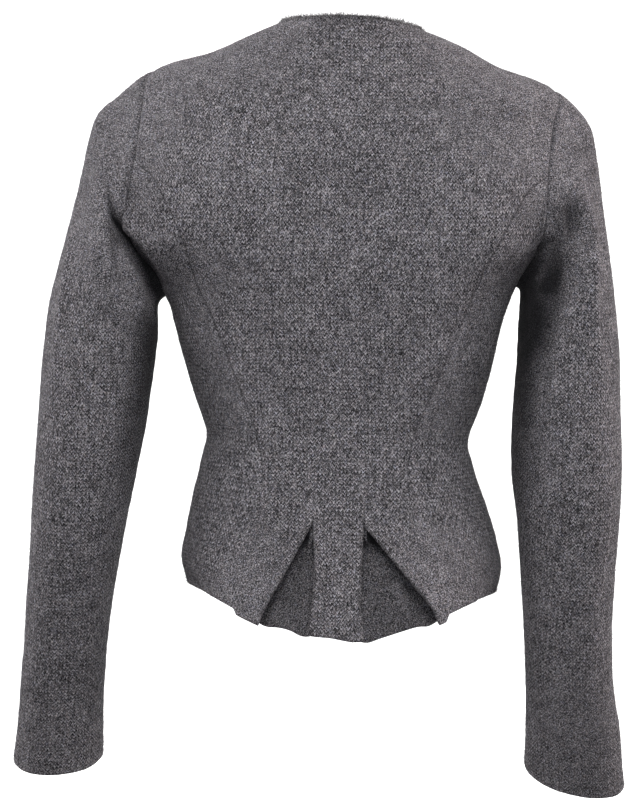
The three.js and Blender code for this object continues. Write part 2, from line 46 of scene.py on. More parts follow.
# ------------------------------------------------------------------ camera (first)
VIEW_HEIGHT = 692.0                    # mm seen from top to bottom at the garment's middle
VIEW_FROM = 2000.0                     # mm from the garment's middle
cam_data = bpy.data.cameras.new("camera")
cam_data.sensor_width = 36.0
cam_data.lens = 36.0 * VIEW_FROM / VIEW_HEIGHT
cam_data.clip_start, cam_data.clip_end = 0.05, 60.0
camera = bpy.data.objects.new("camera", cam_data)
bpy.context.scene.collection.objects.link(camera)
camera.location = (-0.021625, -VIEW_FROM * MM, -0.33389)
camera.rotation_euler = (math.pi / 2, -math.radians(2.2), 0.0)
bpy.context.scene.camera = camera

# ------------------------------------------------------------------ sizes, as in the CAD part
WALL, PLEAT_WALL, SEAM, OVERLAP = 2.6, 2.2, 0.10, 15.0
UNDER_DROP = WALL + 1.2
BUTTON_R, BUTTON_T, BUTTON_GAP = 9.0, 3.2, 1.0
BUST = dict(x=82, z=-228, out=8, wide=44, high=52)
BUTTON_Z = [-112, -172, -232, -292, -352, -412]
# back_z, left_z, right_z, front_z, left_w, right_w, side_y, back_y, front_y, back_sq, front_sq, ease
BODY = np.array([
    [-526, -494, -492, -499, 125, 140, -6, -127, 108, 2.3, 2.2, 3.8],      # hem
    [-500, -472, -470, -477, 131, 143.5, -6, -120, 106, 2.3, 2.2, 3.4],    # skirt
    [-466, -447, -445, -449, 128, 138, -6, -109, 102, 2.3, 2.2, 3],        # flare
    [-436, -422, -421, -422, 124, 130, -6, -98, 98, 2.3, 2.2, 2.6],        # spring
    [-398, -392, -391, -392, 118, 118, -5, -88, 93, 2.4, 2.2, 2.3],        # low waist
    [-364, -363, -362, -362, 115.5, 112.5, -4, -84, 90, 2.4, 2.2, 2],      # waist
    [-330, -331, -330, -330, 126, 122, -3, -88, 92, 2.4, 2.2, 2],          # high waist
    [-298, -300, -298, -298, 136.5, 130, -2, -96, 98, 2.4, 2.2, 2],        # low ribs
    [-266, -272, -264, -266, 145, 136, -1, -104, 107, 2.4, 2.2, 2],        # ribs
    [-236, -249, -229, -236, 154, 147.5, 0, -111, 113, 2.5, 2.2, 2],       # armpit
    [-205, -207, -197, -207, 190, 167, -2, -115, 115, 2.8, 2.3, 2],        # underarm
    [-173, -166, -161, -181, 190, 170.5, -5, -115, 112, 3.0, 2.4, 1.8],    # chest
    [-141, -129, -128, -158, 184, 170.5, -7, -111, 104, 2.9, 2.4, 1.6],    # blade
    [-111, -88, -90, -140, 177, 171, -9, -103, 94, 2.6, 2.3, 1.4],         # yoke
    [-85, -55.5, -59.5, -124, 169, 171, -9, -93.5, 83, 2.4, 2.3, 1.25],    # shoulder tip
    [-60, -39, -41, -110, 122, 123, -11, -83.5, 71, 2.25, 2.2, 1.3],       # shoulder
    [-36, -24.5, -26, -99, 91, 91, -13, -74, 60, 2.15, 2.1, 1.6],          # collar
    [-10.5, -11.5, -15, -88, 61, 57, -15, -65, 46, 2.1, 2.0, 2],           # neck
], float)
HEM, SPRING, ARMPIT, BLADE, TIP, NECK = 0, 3, 9, 12, 14, 17
# x of the left and right princess seam, hem to blade
PRINCESS = np.array([
    [-106, 119], [-95, 104], [-79, 82], [-67, 65], [-63, 58], [-70, 61.5], [-84, 74], [-97, 86],
    [-110, 98.5], [-123, 111], [-136.5, 124.5], [-154.5, 142], [-176.5, 163.5]], float)
# how far the armhole edge stands from the side line at the back and at the front, degrees
ARMHOLE = np.array([[22, 22], [20, 25], [21.5, 29], [21, 30], [19, 27], [19, 24]], float)
# out_x, out_z, in_x, in_z, mid_y, depth, square, carry
SLEEVES = {-1: np.array([
    [-169, -55.5, -154, -249, -8, 52, 2.0, 1], [-184, -66, -158, -251.5, -9, 54, 2.0, 0.95],
    [-201, -80, -160, -255, -9, 56, 2.0, 0.87], [-216, -93.5, -160.5, -259, -9, 57, 2.0, 0.77],
    [-222.5, -113, -160.5, -264, -9, 57, 2.05, 0.65], [-229.5, -150, -160, -271, -9, 56.5, 2.1, 0.46],
    [-237.5, -188, -159.5, -279, -9, 56, 2.1, 0.28], [-245.5, -224, -159.5, -290, -10, 55.5, 2.1, 0.13],
    [-253, -262, -160.5, -307, -11, 55, 2.1, 0.04], [-256.5, -302, -163, -331, -12, 54, 2.1, 0],
    [-258, -342, -166.5, -363, -12, 52.5, 2.1, 0], [-260, -384, -171.5, -395, -9, 51, 2.1, 0],
    [-262, -431, -178.5, -433, -2, 49, 2.1, 0], [-264, -480, -186, -478, 9, 47, 2.1, 0],
    [-267, -525, -192.5, -521, 23, 45, 2.1, 0], [-270, -570, -197, -564, 38, 43.5, 2.1, 0],
    [-273.5, -615, -199, -609, 53, 42, 2.1, 0], [-278, -663, -198.5, -657, 68, 41, 2.1, 0]], float),
    1: np.array([
    [171, -59.5, 147.5, -229, -8, 52, 2.0, 1], [186, -70, 151.5, -231, -9, 54, 2.0, 0.95],
    [198, -80.5, 152.5, -234, -9, 56, 2.0, 0.87], [206, -92.5, 152.5, -238, -9, 57, 2.0, 0.77],
    [211, -113, 152.5, -244, -9, 57, 2.05, 0.65], [217, -148, 152, -252, -9, 56.5, 2.1, 0.46],
    [223.5, -185, 151.5, -261, -9, 56, 2.1, 0.28], [229.5, -222, 151, -273, -10, 55.5, 2.1, 0.13],
    [235.5, -262, 150.5, -291, -11, 55, 2.1, 0.04], [239, -304, 149.5, -321, -12, 54, 2.1, 0],
    [241.5, -346, 148.5, -357, -12, 52.5, 2.1, 0], [244, -388, 150.5, -393, -9, 51, 2.1, 0],
    [244.5, -432, 157, -433, -2, 49, 2.1, 0], [244, -480, 163, -480, 9, 47, 2.1, 0],
    [245.5, -527, 168.5, -527, 23, 45, 2.1, 0], [250.5, -573, 173.5, -573, 38, 43.5, 2.1, 0],
    [260, -618, 176.5, -616, 53, 42, 2.1, 0], [267.5, -666, 178, -653, 68, 41, 2.1, 0]], float)}
SLIT_STEPS = [0, 0.35, 0.68, 1]
SLITS = {-1: dict(strip=[-20, -17, -18, -22], flap=(-20, -60)),
         1: dict(strip=[23, 22, 22, 26], flap=(23, 86))}
FLAP_LIFT, FLAP_REACH, RETURN, PLEAT_DROP = 4.5, 34.0, 27.0, 3.6
# from_flap, along, depth_top, depth_hem, follow
PLEAT = np.array([
    [0, -0.30, 3.4, 3.8, 0], [0, 0.12, 3.8, 5.6, 0], [0, 0.55, 5.2, 8.8, 0],
    [1, -0.45, 6.2, 10.2, 0], [1, 0.15, 6.6, 10.4, 0], [1, 0.80, 6.6, 10.2, 0],
    [1, 0.96, 6.5, 9.6, 0.2], [1, 1.00, 6.1, 8.2, 0.6], [1, 0.94, 5.7, 6.8, 0.9],
    [1, 0.60, 5.6, 6.1, 1], [1, 0.08, 5.6, 5.8, 1]], float)
# how much lower each of those points hangs at the hem
HANG = {-1: np.array([-3.4, -0.7, -2.6, -2.0, 3.2, 3.0, 2.4, 1.6, 1.6, 1.6, 1.6]),
        1: np.array([-0.6, 2.6, 1.2, 1.4, 7.0, 6.0, 4.0, 2.4, 2.0, 1.6, 1.6])}
DIVE = np.array([1.7, 1.6, 0.60, 1.2, 1.5, 1.2, 0.7, 0.3, 0.0, 0.0, 0.0])


# ------------------------------------------------------------------ small tools
def smooth(x):
    t = np.clip(x, 0, 1)
    return t * t * (3 - 2 * t)


def unit(v):
    return v / np.maximum(np.linalg.norm(v, axis=-1, keepdims=True), 1e-12)


def at(rows, r):
    """The table's values at level r, as smooth curves through its rows."""
    n = len(rows) - 1
    r = np.asarray(r, float)
    i = np.clip(np.floor(r).astype(int), 0, n - 1)
    t = np.clip(r - i, 0, 1)[..., None]
    p1, p2 = rows[i], rows[i + 1]
    p0 = np.where((i > 0)[..., None], rows[np.maximum(i - 1, 0)], 2 * rows[0] - rows[1])
    p3 = np.where((i + 2 <= n)[..., None], rows[np.minimum(i + 2, n)], 2 * rows[n] - rows[n - 1])
    return 0.5 * (2 * p1 + (p2 - p0) * t + (2 * p0 - 5 * p1 + 4 * p2 - p3) * t * t
                  + (3 * p1 - p0 - 3 * p2 + p3) * t ** 3)


def hashed(ix, iy, iz, seed):
    n = (ix * 374761393 + iy * 668265263 + iz * 1440662683 + seed * 1274126177) & 0xFFFFFFFF
    n = ((n ^ (n >> 13)) * 1274126177) & 0xFFFFFFFF
    n = ((n ^ (n >> 15)) * 2246822519) & 0xFFFFFFFF
    return ((n ^ (n >> 16)) & 0xFFFF) / 32767.5 - 1.0


def noise(p, size, seed):
    """Smooth noise from about -1 to 1; size is that of a blob, mm."""
    q = np.asarray(p) / size
    i = np.floor(q).astype(np.int64)
    f = q - i
    u = f * f * f * (f * (f * 6 - 15) + 10)
    total = 0.0
    for cx in (0, 1):
        for cy in (0, 1):
            for cz in (0, 1):
                ix, iy, iz = i[..., 0] + cx, i[..., 1] + cy, i[..., 2] + cz
                g = sum(hashed(ix, iy, iz, seed * 3 + k) * (f[..., k] - c)
                        for k, c in enumerate((cx, cy, cz)))
                w = ((u[..., 0] if cx else 1 - u[..., 0]) * (u[..., 1] if cy else 1 - u[..., 1])
                     * (u[..., 2] if cz else 1 - u[..., 2]))
                total = total + g * w
    return total * 1.4


# ------------------------------------------------------------------ the body surface
def body_point(r, a):
    """r: level, hem 0 to neck; a: angle from the middle of the back, radians, + to the right."""
    r, a = np.broadcast_arrays(np.asarray(r, float), np.asarray(a, float))
    L = at(BODY, r)
    s, c = np.sin(a), np.cos(a)
    right, back = s >= 0, c >= 0
    w = np.where(right, L[..., 5], L[..., 4])
    q = np.where(back, L[..., 9], L[..., 10])
    x = w * np.sign(s) * np.abs(s) ** (2 / q)
    y = L[..., 6] + (np.where(back, L[..., 7], L[..., 8]) - L[..., 6]) * np.abs(c) ** (2 / q)
    zs = np.where(right, L[..., 2], L[..., 1])
    z = zs + (np.where(back, L[..., 0], L[..., 3]) - zs) * np.abs(c) ** L[..., 11]
    for side in (-1, 1):
        u, v = (x - side * BUST["x"]) / BUST["wide"], (z - BUST["z"]) / BUST["high"]
        y = y + np.where(back, 0, BUST["out"] * np.exp(-u * u - v * v) * np.abs(c))
    return np.stack([x, y, z], -1)


def body_normal(r, a):
    r, a = np.broadcast_arrays(np.asarray(r, float), np.asarray(a, float))
    da, dr = 0.02, 0.04
    u = body_point(r, a + da) - body_point(r, a - da)
    v = body_point(np.clip(r + dr, 0, NECK), a) - body_point(np.clip(r - dr, 0, NECK), a)
    return unit(np.cross(u, v))


def angle_at_x(r, x, front=False):
    L = at(BODY, r)
    x = np.asarray(x, float)
    w = np.where(x >= 0, L[..., 5], L[..., 4])
    q = L[..., 10] if front else L[..., 9]
    sign = np.where(x >= 0, 1.0, -1.0)
    a = np.arcsin(np.clip((np.abs(x) / w) ** (q / 2), 0, 1)) * sign
    return math.pi * sign - a if front else a


def edge_angle(r, side, front):
    r = np.asarray(r, float)
    inside = np.clip((r - ARMPIT) / (TIP - ARMPIT), 0, 1)
    k = at(ARMHOLE, np.clip(r - ARMPIT, 0, TIP - ARMPIT))[..., 1 if front else 0]
    off = np.radians(k) * np.maximum(np.sin(math.pi * inside), 0) ** 0.42
    return side * (math.pi / 2 + (off if front else -off))


def princess_angle(r, side):
    """The princess seam, which runs into the armhole at the blade."""
    r = np.asarray(r, float)
    a = angle_at_x(r, at(PRINCESS, np.clip(r, 0, BLADE))[..., 0 if side < 0 else 1])
    k = smooth((r - (BLADE - 0.6)) / 0.6)
    return a * (1 - k) + edge_angle(r, side, False) * k


def straight_flap(side):
    """x of a flap's free edge at each level, so that the edge is a straight line from behind."""
    f = SLITS[side]["flap"]
    rr = np.linspace(0, SPRING, 61)
    ends = []
    for r, x in ((0.0, f[1]), (float(SPRING), f[0])):
        ends.append(body_point(r, angle_at_x(r, x)))
    (x0, _, z0), (x1, _, z1) = ends
    out = []
    for r in rr:
        xs = np.linspace(min(f) - 4, max(f) + 4, 240)
        z = body_point(np.full(xs.shape, r), angle_at_x(np.full(xs.shape, r), xs))[:, 2]
        line = z0 + (xs - x0) / (x1 - x0) * (z1 - z0)
        out.append(xs[np.argmin(np.abs(z - line))])
    out = np.array(out)
    out[0], out[-1] = f[1], f[0]
    return rr, np.convolve(np.pad(out, 2, mode="reflect", reflect_type="odd"), np.ones(5) / 5, "valid")


FLAP_LINE = {side: straight_flap(side) for side in (-1, 1)}


def slit_edges(r, side):
    t = np.clip((SPRING - np.asarray(r, float)) / SPRING, 0, 1)
    strip = np.interp(t, SLIT_STEPS, SLITS[side]["strip"])
    return strip, np.interp(np.clip(r, 0, SPRING), *FLAP_LINE[side]), t


# ------------------------------------------------------------------ cells
NEAR_EDGE = np.array([0, 0.22, 0.55, 1.0, 1.6, 2.5, 3.9])   # mm from an edge, finer cells


def spread_positions(length, n, e0=1.0, e1=1.0):
    """n + 1 positions from 0 to length, closer together at the ends with weight e0 and e1."""
    even = np.linspace(0, length, n + 1)
    k = len(NEAR_EDGE)
    offs = NEAR_EDGE * min(1.0, length / 16.0)
    fine = np.concatenate([offs, np.linspace(offs[-1], length - offs[-1], n + 3 - 2 * k)[1:-1],
                           length - offs[::-1]])
    w = e0 + (e1 - e0) * smooth(np.linspace(-0.1, 1.1, n + 1))
    return even + (fine - even) * w


def rows_between(r0, r1, angles, edge0=True, edge1=True, step=None):
    """Levels from r0 to r1, a cell apart where the rows are furthest apart."""
    rr = np.linspace(r0, r1, 600)
    P = body_point(rr[:, None], np.asarray(angles)[None, :])
    ds = np.linalg.norm(np.diff(P, axis=0), axis=-1).max(1)
    s = np.concatenate([[0], np.cumsum(ds)])
    n = max(int(round(s[-1] / (step or STEP))), 20)
    return np.interp(spread_positions(s[-1], n, 1.0 if edge0 else 0.0, 1.0 if edge1 else 0.0), s, rr)


def row_angles(r, a0, a1, positions, trim0, trim1):
    """Angles along one level at given lengths from a0; positions(length) gives them."""
    aa = np.linspace(a0, a1, 220)
    P = body_point(np.full(aa.shape, r), aa)
    s = np.concatenate([[0], np.cumsum(np.linalg.norm(np.diff(P, axis=0), axis=-1))])
    want = trim0 + positions(s[-1] - trim0 - trim1)
    return np.interp(want, s, aa)


def grid_cells(rows, cols, closed=False):
    i, j = np.meshgrid(np.arange(rows - 1), np.arange(cols if closed else cols - 1), indexing="ij")
    k = (j + 1) % cols
    return np.stack([i * cols + j, i * cols + k, (i + 1) * cols + k, (i + 1) * cols + j], -1).reshape(-1, 4)


def grid_normals(P, closed=False):
    if closed:
        du = np.roll(P, -1, 1) - np.roll(P, 1, 1)
    else:
        du = np.gradient(P, axis=1)
    dv = np.gradient(P, axis=0)
    return unit(np.cross(du, dv))


def nearest(points, samples):
    """Distance from each point to the closest of the samples."""
    tree = kdtree.KDTree(len(samples))
    for i, p in enumerate(samples):
        tree.insert(p, i)
    tree.balance()
    return np.array([tree.find(p)[2] for p in points])


def along_line(points, every=0.3, closed=False):
    """A polyline again, with points close together."""
    P = np.asarray(points, float)
    if closed:
        P = np.concatenate([P, P[:1]])
    s = np.concatenate([[0], np.cumsum(np.linalg.norm(np.diff(P, axis=0), axis=-1))])
    n = max(int(s[-1] / every), 2)
    t = np.linspace(0, s[-1], n)
    return np.stack([np.interp(t, s, P[:, k]) for k in range(3)], -1)


# ------------------------------------------------------------------ creases placed one by one
# Each is a path on one face of the garment, in mm: x and z on its back and front, y and z on a side.
# depth is positive for a ridge; narrow and wide are the widths on the path's left and right side
# (looking along it), and ends say over what share of the length it fades in and out. painted_shade_depth
# is painted shade: how much darker the colour is painted there, counted as mm of extra depth.
CREASES = []


def crease(face, pieces, path, depth, left, right=None, ends=(0.3, 0.3), power=2.0, lip=0.0, painted_shade_depth=0.0):
    CREASES.append(dict(face=face, pieces=pieces, painted_shade_depth=np.atleast_1d(painted_shade_depth).astype(float), path=np.array(path, float), depth=np.atleast_1d(depth).astype(float),
                        left=np.atleast_1d(left).astype(float),
                        right=np.atleast_1d(left if right is None else right).astype(float),
                        ends=ends, power=power, lip=lip))


FACES = {"back": ((0, 2), (1, -1)), "front": ((0, 2), (1, 1)), "left": ((1, 2), (0, -1)), "right": ((1, 2), (0, 1))}


def crease_height(piece, P, N):
    """How far the creases push each point out along its normal, and how much painted shade they put on it."""
    total, crease_shade_paint = np.zeros(len(P)), np.zeros(len(P))
    for c in CREASES:
        if piece not in c["pieces"]:
            continue
        (ia, ib), (ic, sign) = FACES[c["face"]]
        q = P[:, [ia, ib]]
        path = c["path"]
        seg = np.diff(path, axis=0)
        lens = np.linalg.norm(seg, axis=1)
        cum = np.concatenate([[0], np.cumsum(lens)])
        reach = 3.2 * max(c["left"].max(), c["right"].max())
        lo, hi = path.min(0) - reach, path.max(0) + reach
        near = np.where(((q > lo) & (q < hi)).all(1) & (N[:, ic] * sign > (-0.7 if c["painted_shade_depth"].any() else 0.02)))[0]
        if not len(near):
            continue
        qq = q[near]
        best = np.full(len(near), 1e9)
        share = np.zeros(len(near))
        signed = np.zeros(len(near))
        for k in range(len(seg)):
            d = qq - path[k]
            t = np.clip((d @ seg[k]) / max(lens[k] ** 2, 1e-9), 0, 1)
            off = d - t[:, None] * seg[k]
            dist = np.linalg.norm(off, axis=1)
            cross = seg[k][0] * d[:, 1] - seg[k][1] * d[:, 0]
            better = dist < best
            best = np.where(better, dist, best)
            share = np.where(better, (cum[k] + t * lens[k]) / cum[-1], share)
            signed = np.where(better, np.where(cross >= 0, 1.0, -1.0), signed)
        pick = lambda v: np.interp(share, np.linspace(0, 1, len(v)), v) if len(v) > 1 else np.full(len(share), v[0])
        width = np.where(signed > 0, pick(c["left"]), pick(c["right"]))
        e0, e1 = c["ends"]
        fade = smooth(share / max(e0, 1e-6)) * smooth((1 - share) / max(e1, 1e-6))
        x = best / width
        shape = np.exp(-np.abs(x) ** c["power"])
        if c["lip"]:
            shape = shape - c["lip"] * np.exp(-((x - 2.1) / 0.8) ** 2)
        face = smooth((N[near, ic] * sign - 0.02) / 0.3)
        total[near] += pick(c["depth"]) * shape * fade * face
        # painted shade: the strongest of the creases' shade amounts at each point
        crease_shade_paint[near] = np.maximum(crease_shade_paint[near], pick(c["painted_shade_depth"]) * shape * fade * smooth((N[near, ic] * sign + 0.7) / 0.3))
    return total, crease_shade_paint


ARM_TREES = {}


def armhole_near(P):
    """Distance to the nearer armhole seam, and how far the cloth bridges the valley there."""
    dist, fill = np.full(len(P), 1e3), np.zeros(len(P))
    for side in (-1, 1):
        G = SL[side]
        if side not in ARM_TREES:
            tree = kdtree.KDTree(G["m"])
            for i, p in enumerate(G["rim_p"]):
                tree.insert(p, i)
            tree.balance()
            share = G["share"]
            high = smooth((share - 0.03) / 0.17) * smooth((0.76 - share) / 0.2)
            ARM_TREES[side] = (tree, high * np.where(G["is_back"], 8.0, 5.0))
        tree, high = ARM_TREES[side]
        for v in np.where(P[:, 0] * side > 95)[0]:
            co, i, d = tree.find(P[v])
            if d < 48:
                dist[v], fill[v] = d, high[i] * math.exp(-(d / 14.0) ** 2)
    return dist, fill


# ------------------------------------------------------------------ cloth shells
PIECES = {}


def rounded(d, radius):
    k = np.clip(1 - d / radius, 0, 1)
    return np.sqrt(np.maximum(1 - k * k, 0))


def shell(name, surface, normal, cells, wall, edges, uv, seed, steady=None, lumps=1.0, extra=None,
          regrid=None, creases=True, true_p=None, painted_shade_depth=None):
    """Makes a closed cloth shell.

    surface: points of the cloth's outer face, normal: outward there, cells: quads of point numbers,
    edges: list of (samples, kind), kind "seam" or "free", uv: for each cell corner, in metres,
    steady: 0..1 per point, 0 where the neighbour's normal has to be kept, regrid: turns points into
    normals again once the creases have moved them."""
    P, N = surface.reshape(-1, 3), normal.reshape(-1, 3)
    n = len(P)
    seams = [s for s, kind in edges if kind == "seam"]
    frees = [s for s, kind in edges if kind == "free"]
    mid = P - N * wall / 2
    far = np.full(n, 1e3)
    d_seam = nearest(mid, np.concatenate(seams)) if seams else far
    d_free = nearest(mid, np.concatenate(frees)) if frees else far
    steady = np.ones(n) if steady is None else steady.reshape(-1)
    move = np.zeros(n)
    crease_shade_paint = np.zeros(n)
    if creases:
        height, crease_shade_paint = crease_height(name, P if true_p is None else true_p, N)
        move = move + height
    # painted shade: the deeper a crease pushes the cloth in, the darker its colour, plus the listed shade amounts
    hollow = np.maximum(-move, 0.0) + crease_shade_paint + (0 if painted_shade_depth is None else painted_shade_depth.reshape(-1))
    # the colour is darkened along the raw neck edge too, through the amount that also paints the shade in the folds
    if name == "back_center" or name.startswith("front"):
        hollow = hollow + 9.5 * np.exp(-(d_free / 4.5) ** 2) * smooth((P[:, 2] + 105) / 20)
    # the cloth bridges the valley between the body and the sleeve
    d_arm, fill = armhole_near(P if true_p is None else true_p) if creases else (far, 0.0)
    move = move + fill
    if extra is not None:
        move = move + extra.reshape(-1)
    # boiled wool is never quite flat: a slow wave, and the felt's own small lumps
    lump = (0.55 * noise(P, 46, 5) + 0.30 * noise(P, 17, 11) + 0.36 * noise(P, 6.5, 23)
            + 0.20 * noise(P, 3.4, 31)) * lumps
    # pressed seams: a shallow valley, with the allowance showing as a faint step beside it
    seen = np.interp(mid[:, 2], [-440, -385], [0.15, 1.0])
    press = -0.45 + 0.27 * np.exp(-(d_arm / 8.0) ** 2)
    lump = lump + seen * (press * np.exp(-(d_seam / 1.7) ** 2) + 0.14 * np.exp(-((d_seam - 6.0) / 3.0) ** 2))
    body = mid + N * (move + lump)[:, None]
    if regrid is not None:
        again = regrid(body)
        flip = np.sign((again * N).sum(-1, keepdims=True))
        again = again * np.where(flip == 0, 1, flip)
        k = (steady * smooth(np.minimum(d_seam, d_free) / 5.0))[:, None]
        N2 = unit(N * (1 - k) + again * k)
    else:
        N2 = N
    groove = np.interp(mid[:, 2], [-440, -385], [0.35, 0.85])
    h = wall / 2 * np.minimum(np.sqrt(np.maximum(1 - np.clip(1 - d_seam / groove, 0, 1) ** 2, 0)), rounded(d_free, 1.3))
    # edge points: used by one cell only
    e = np.concatenate([cells[:, [0, 1]], cells[:, [1, 2]], cells[:, [2, 3]], cells[:, [3, 0]]])
    e = np.sort(e, axis=1)
    pairs, counts = np.unique(e, axis=0, return_counts=True)
    rim = np.zeros(n, bool)
    rim[pairs[counts == 1].ravel()] = True
    h[rim] = 0
    outer = body + N2 * h[:, None]
    inner = body - N2 * h[:, None]
    idx = np.arange(n)
    second = np.where(rim, idx, 0)
    second[~rim] = n + np.arange((~rim).sum())
    verts = np.concatenate([outer, inner[~rim]])
    faces = np.concatenate([cells, second[cells[:, ::-1]]])
    uvs = np.concatenate([uv, uv[:, ::-1]])
    mesh = bpy.data.meshes.new(name)
    mesh.from_pydata((verts * MM).tolist(), [], faces.tolist())
    mesh.polygons.foreach_set("use_smooth", np.ones(len(faces), bool))
    layer = mesh.uv_layers.new(name="cloth")
    layer.data.foreach_set("uv", (uvs.reshape(-1, 2)).ravel())
    rim_d = np.minimum(d_free, 40.0)
    att = mesh.attributes.new("rim_mm", "FLOAT", "POINT")
    att.data.foreach_set("value", np.concatenate([rim_d, rim_d[~rim]]))
    att = mesh.attributes.new("seam_mm", "FLOAT", "POINT")
    sd = np.minimum(d_seam, 40.0) + np.interp(mid[:, 2], [-435, -385], [9.0, 0.0])
    att.data.foreach_set("value", np.concatenate([sd, sd[~rim]]))
    att = mesh.attributes.new("hollow_mm", "FLOAT", "POINT")
    att.data.foreach_set("value", np.concatenate([hollow, hollow[~rim] * 0]))
    # how far the rows and columns of the knit lie aslant to each other on each cell
    e1, e2 = P[cells[:, 1]] - P[cells[:, 0]], P[cells[:, 3]] - P[cells[:, 0]]
    w1, w2 = (uv[:, 1] - uv[:, 0]) / MM, (uv[:, 3] - uv[:, 0]) / MM
    dot = lambda a, b: (a * b).sum(-1)
    a, b, c = dot(e1, e1), dot(e1, e2), dot(e2, e2)
    d, e, f = dot(w1, w1), dot(w1, w2), dot(w2, w2)
    det = np.maximum(a * c - b * b, 1e-9)
    trace, prod = (c * d - 2 * b * e + a * f) / det, np.maximum(d * f - e * e, 1e-9) / det
    root = np.sqrt(np.maximum(trace ** 2 / 4 - prod, 0))
    ratio = np.sqrt((trace / 2 + root) / np.maximum(trace / 2 - root, 1e-6))
    aslant, count = np.zeros(n), np.zeros(n)
    for k in range(4):
        np.add.at(aslant, cells[:, k], smooth((ratio - 1.12) / 0.38))
        np.add.at(count, cells[:, k], 1.0)
    aslant = aslant / np.maximum(count, 1)
    att = mesh.attributes.new("eased", "FLOAT", "POINT")
    att.data.foreach_set("value", np.concatenate([aslant, aslant[~rim]]))
    mesh.update()
    obj = bpy.data.objects.new(name + "_cloth", mesh)
    bpy.context.scene.collection.objects.link(obj)
    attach(obj, "root")
    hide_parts(name)
    quad = verts[cells]
    area = (np.linalg.norm(np.cross(quad[:, 1] - quad[:, 0], quad[:, 2] - quad[:, 0]), axis=1)
            + np.linalg.norm(np.cross(quad[:, 2] - quad[:, 0], quad[:, 3] - quad[:, 0]), axis=1)) / 2
    flat = P[cells]
    lie = (np.linalg.norm(np.cross(flat[:, 1] - flat[:, 0], flat[:, 2] - flat[:, 0]), axis=1)
           + np.linalg.norm(np.cross(flat[:, 2] - flat[:, 0], flat[:, 3] - flat[:, 0]), axis=1)) / 2
    PIECES[name] = dict(lie=lie, hollow=hollow, obj=obj, outer=outer, inner=inner, normal=N2, cells=cells, area=area,
                        d_free=d_free, d_seam=d_seam, rim=rim, tris=2 * len(faces))
    return obj


def grid_uv(u, v):
    """Cell corner uv from grids of u and v, metres."""
    g = np.stack([u, v], -1)
    return np.stack([g[:-1, :-1], g[:-1, 1:], g[1:, 1:], g[1:, :-1]], 2).reshape(-1, 4, 2)


def lengths(P, axis):
    """Running length along an axis of a grid."""
    d = np.linalg.norm(np.diff(P, axis=axis), axis=-1)
    z = np.zeros_like(np.take(d, [0], axis=axis))
    return np.concatenate([z, np.cumsum(d, axis=axis)], axis=axis)


def cloth_uv(P, mid_col=None):
    """u: across the cloth from its middle column, v: up it, both in metres of real cloth."""
    u = lengths(P, 1)
    c = P.shape[1] // 2 if mid_col is None else mid_col
    u = u - u[:, c:c + 1] + 0.0
    v = lengths(P, 0)
    v = np.repeat(v[:, c:c + 1], P.shape[1], axis=1)
    return grid_uv(u * MM, v * MM)


# ------------------------------------------------------------------ sleeves
def superellipse(t, q):
    return (np.sign(np.cos(t)) * np.abs(np.cos(t)) ** (2 / q), np.sign(np.sin(t)) * np.abs(np.sin(t)) ** (2 / q))


def armhole_line(side, front, n=900):
    """The armhole edge from the shoulder tip down to the armpit, evenly in length."""
    x = np.linspace(0, 1, n)
    r = TIP - (TIP - ARMPIT) * (x - np.sin(2 * math.pi * x) / (2 * math.pi) * 0.85)
    r[0], r[-1] = TIP, ARMPIT
    a = edge_angle(r, side, front)
    P = body_point(r, a)
    s = np.concatenate([[0], np.cumsum(np.linalg.norm(np.diff(P, axis=0), axis=-1))])
    return r, a, s


def armhole_at(side, front, share):
    r, a, s = armhole_line(side, front)
    rr = np.interp(share * s[-1], s, r)
    return rr, edge_angle(rr, side, front)


def sleeve_frame(table, k, side, lean):
    S = at(table, k)
    out = np.stack([S[..., 0], S[..., 4], S[..., 1]], -1)
    inn = np.stack([S[..., 2], S[..., 4], S[..., 3]], -1)
    e = unit(out - inn)
    back = np.stack([np.zeros_like(lean), -np.cos(lean), -np.sin(lean)], -1)
    along = unit(np.cross(e, back) * side)
    return dict(S=S, mid=(out + inn) / 2, half=np.linalg.norm(out - inn, axis=-1) / 2, e=e, back=back, along=along)


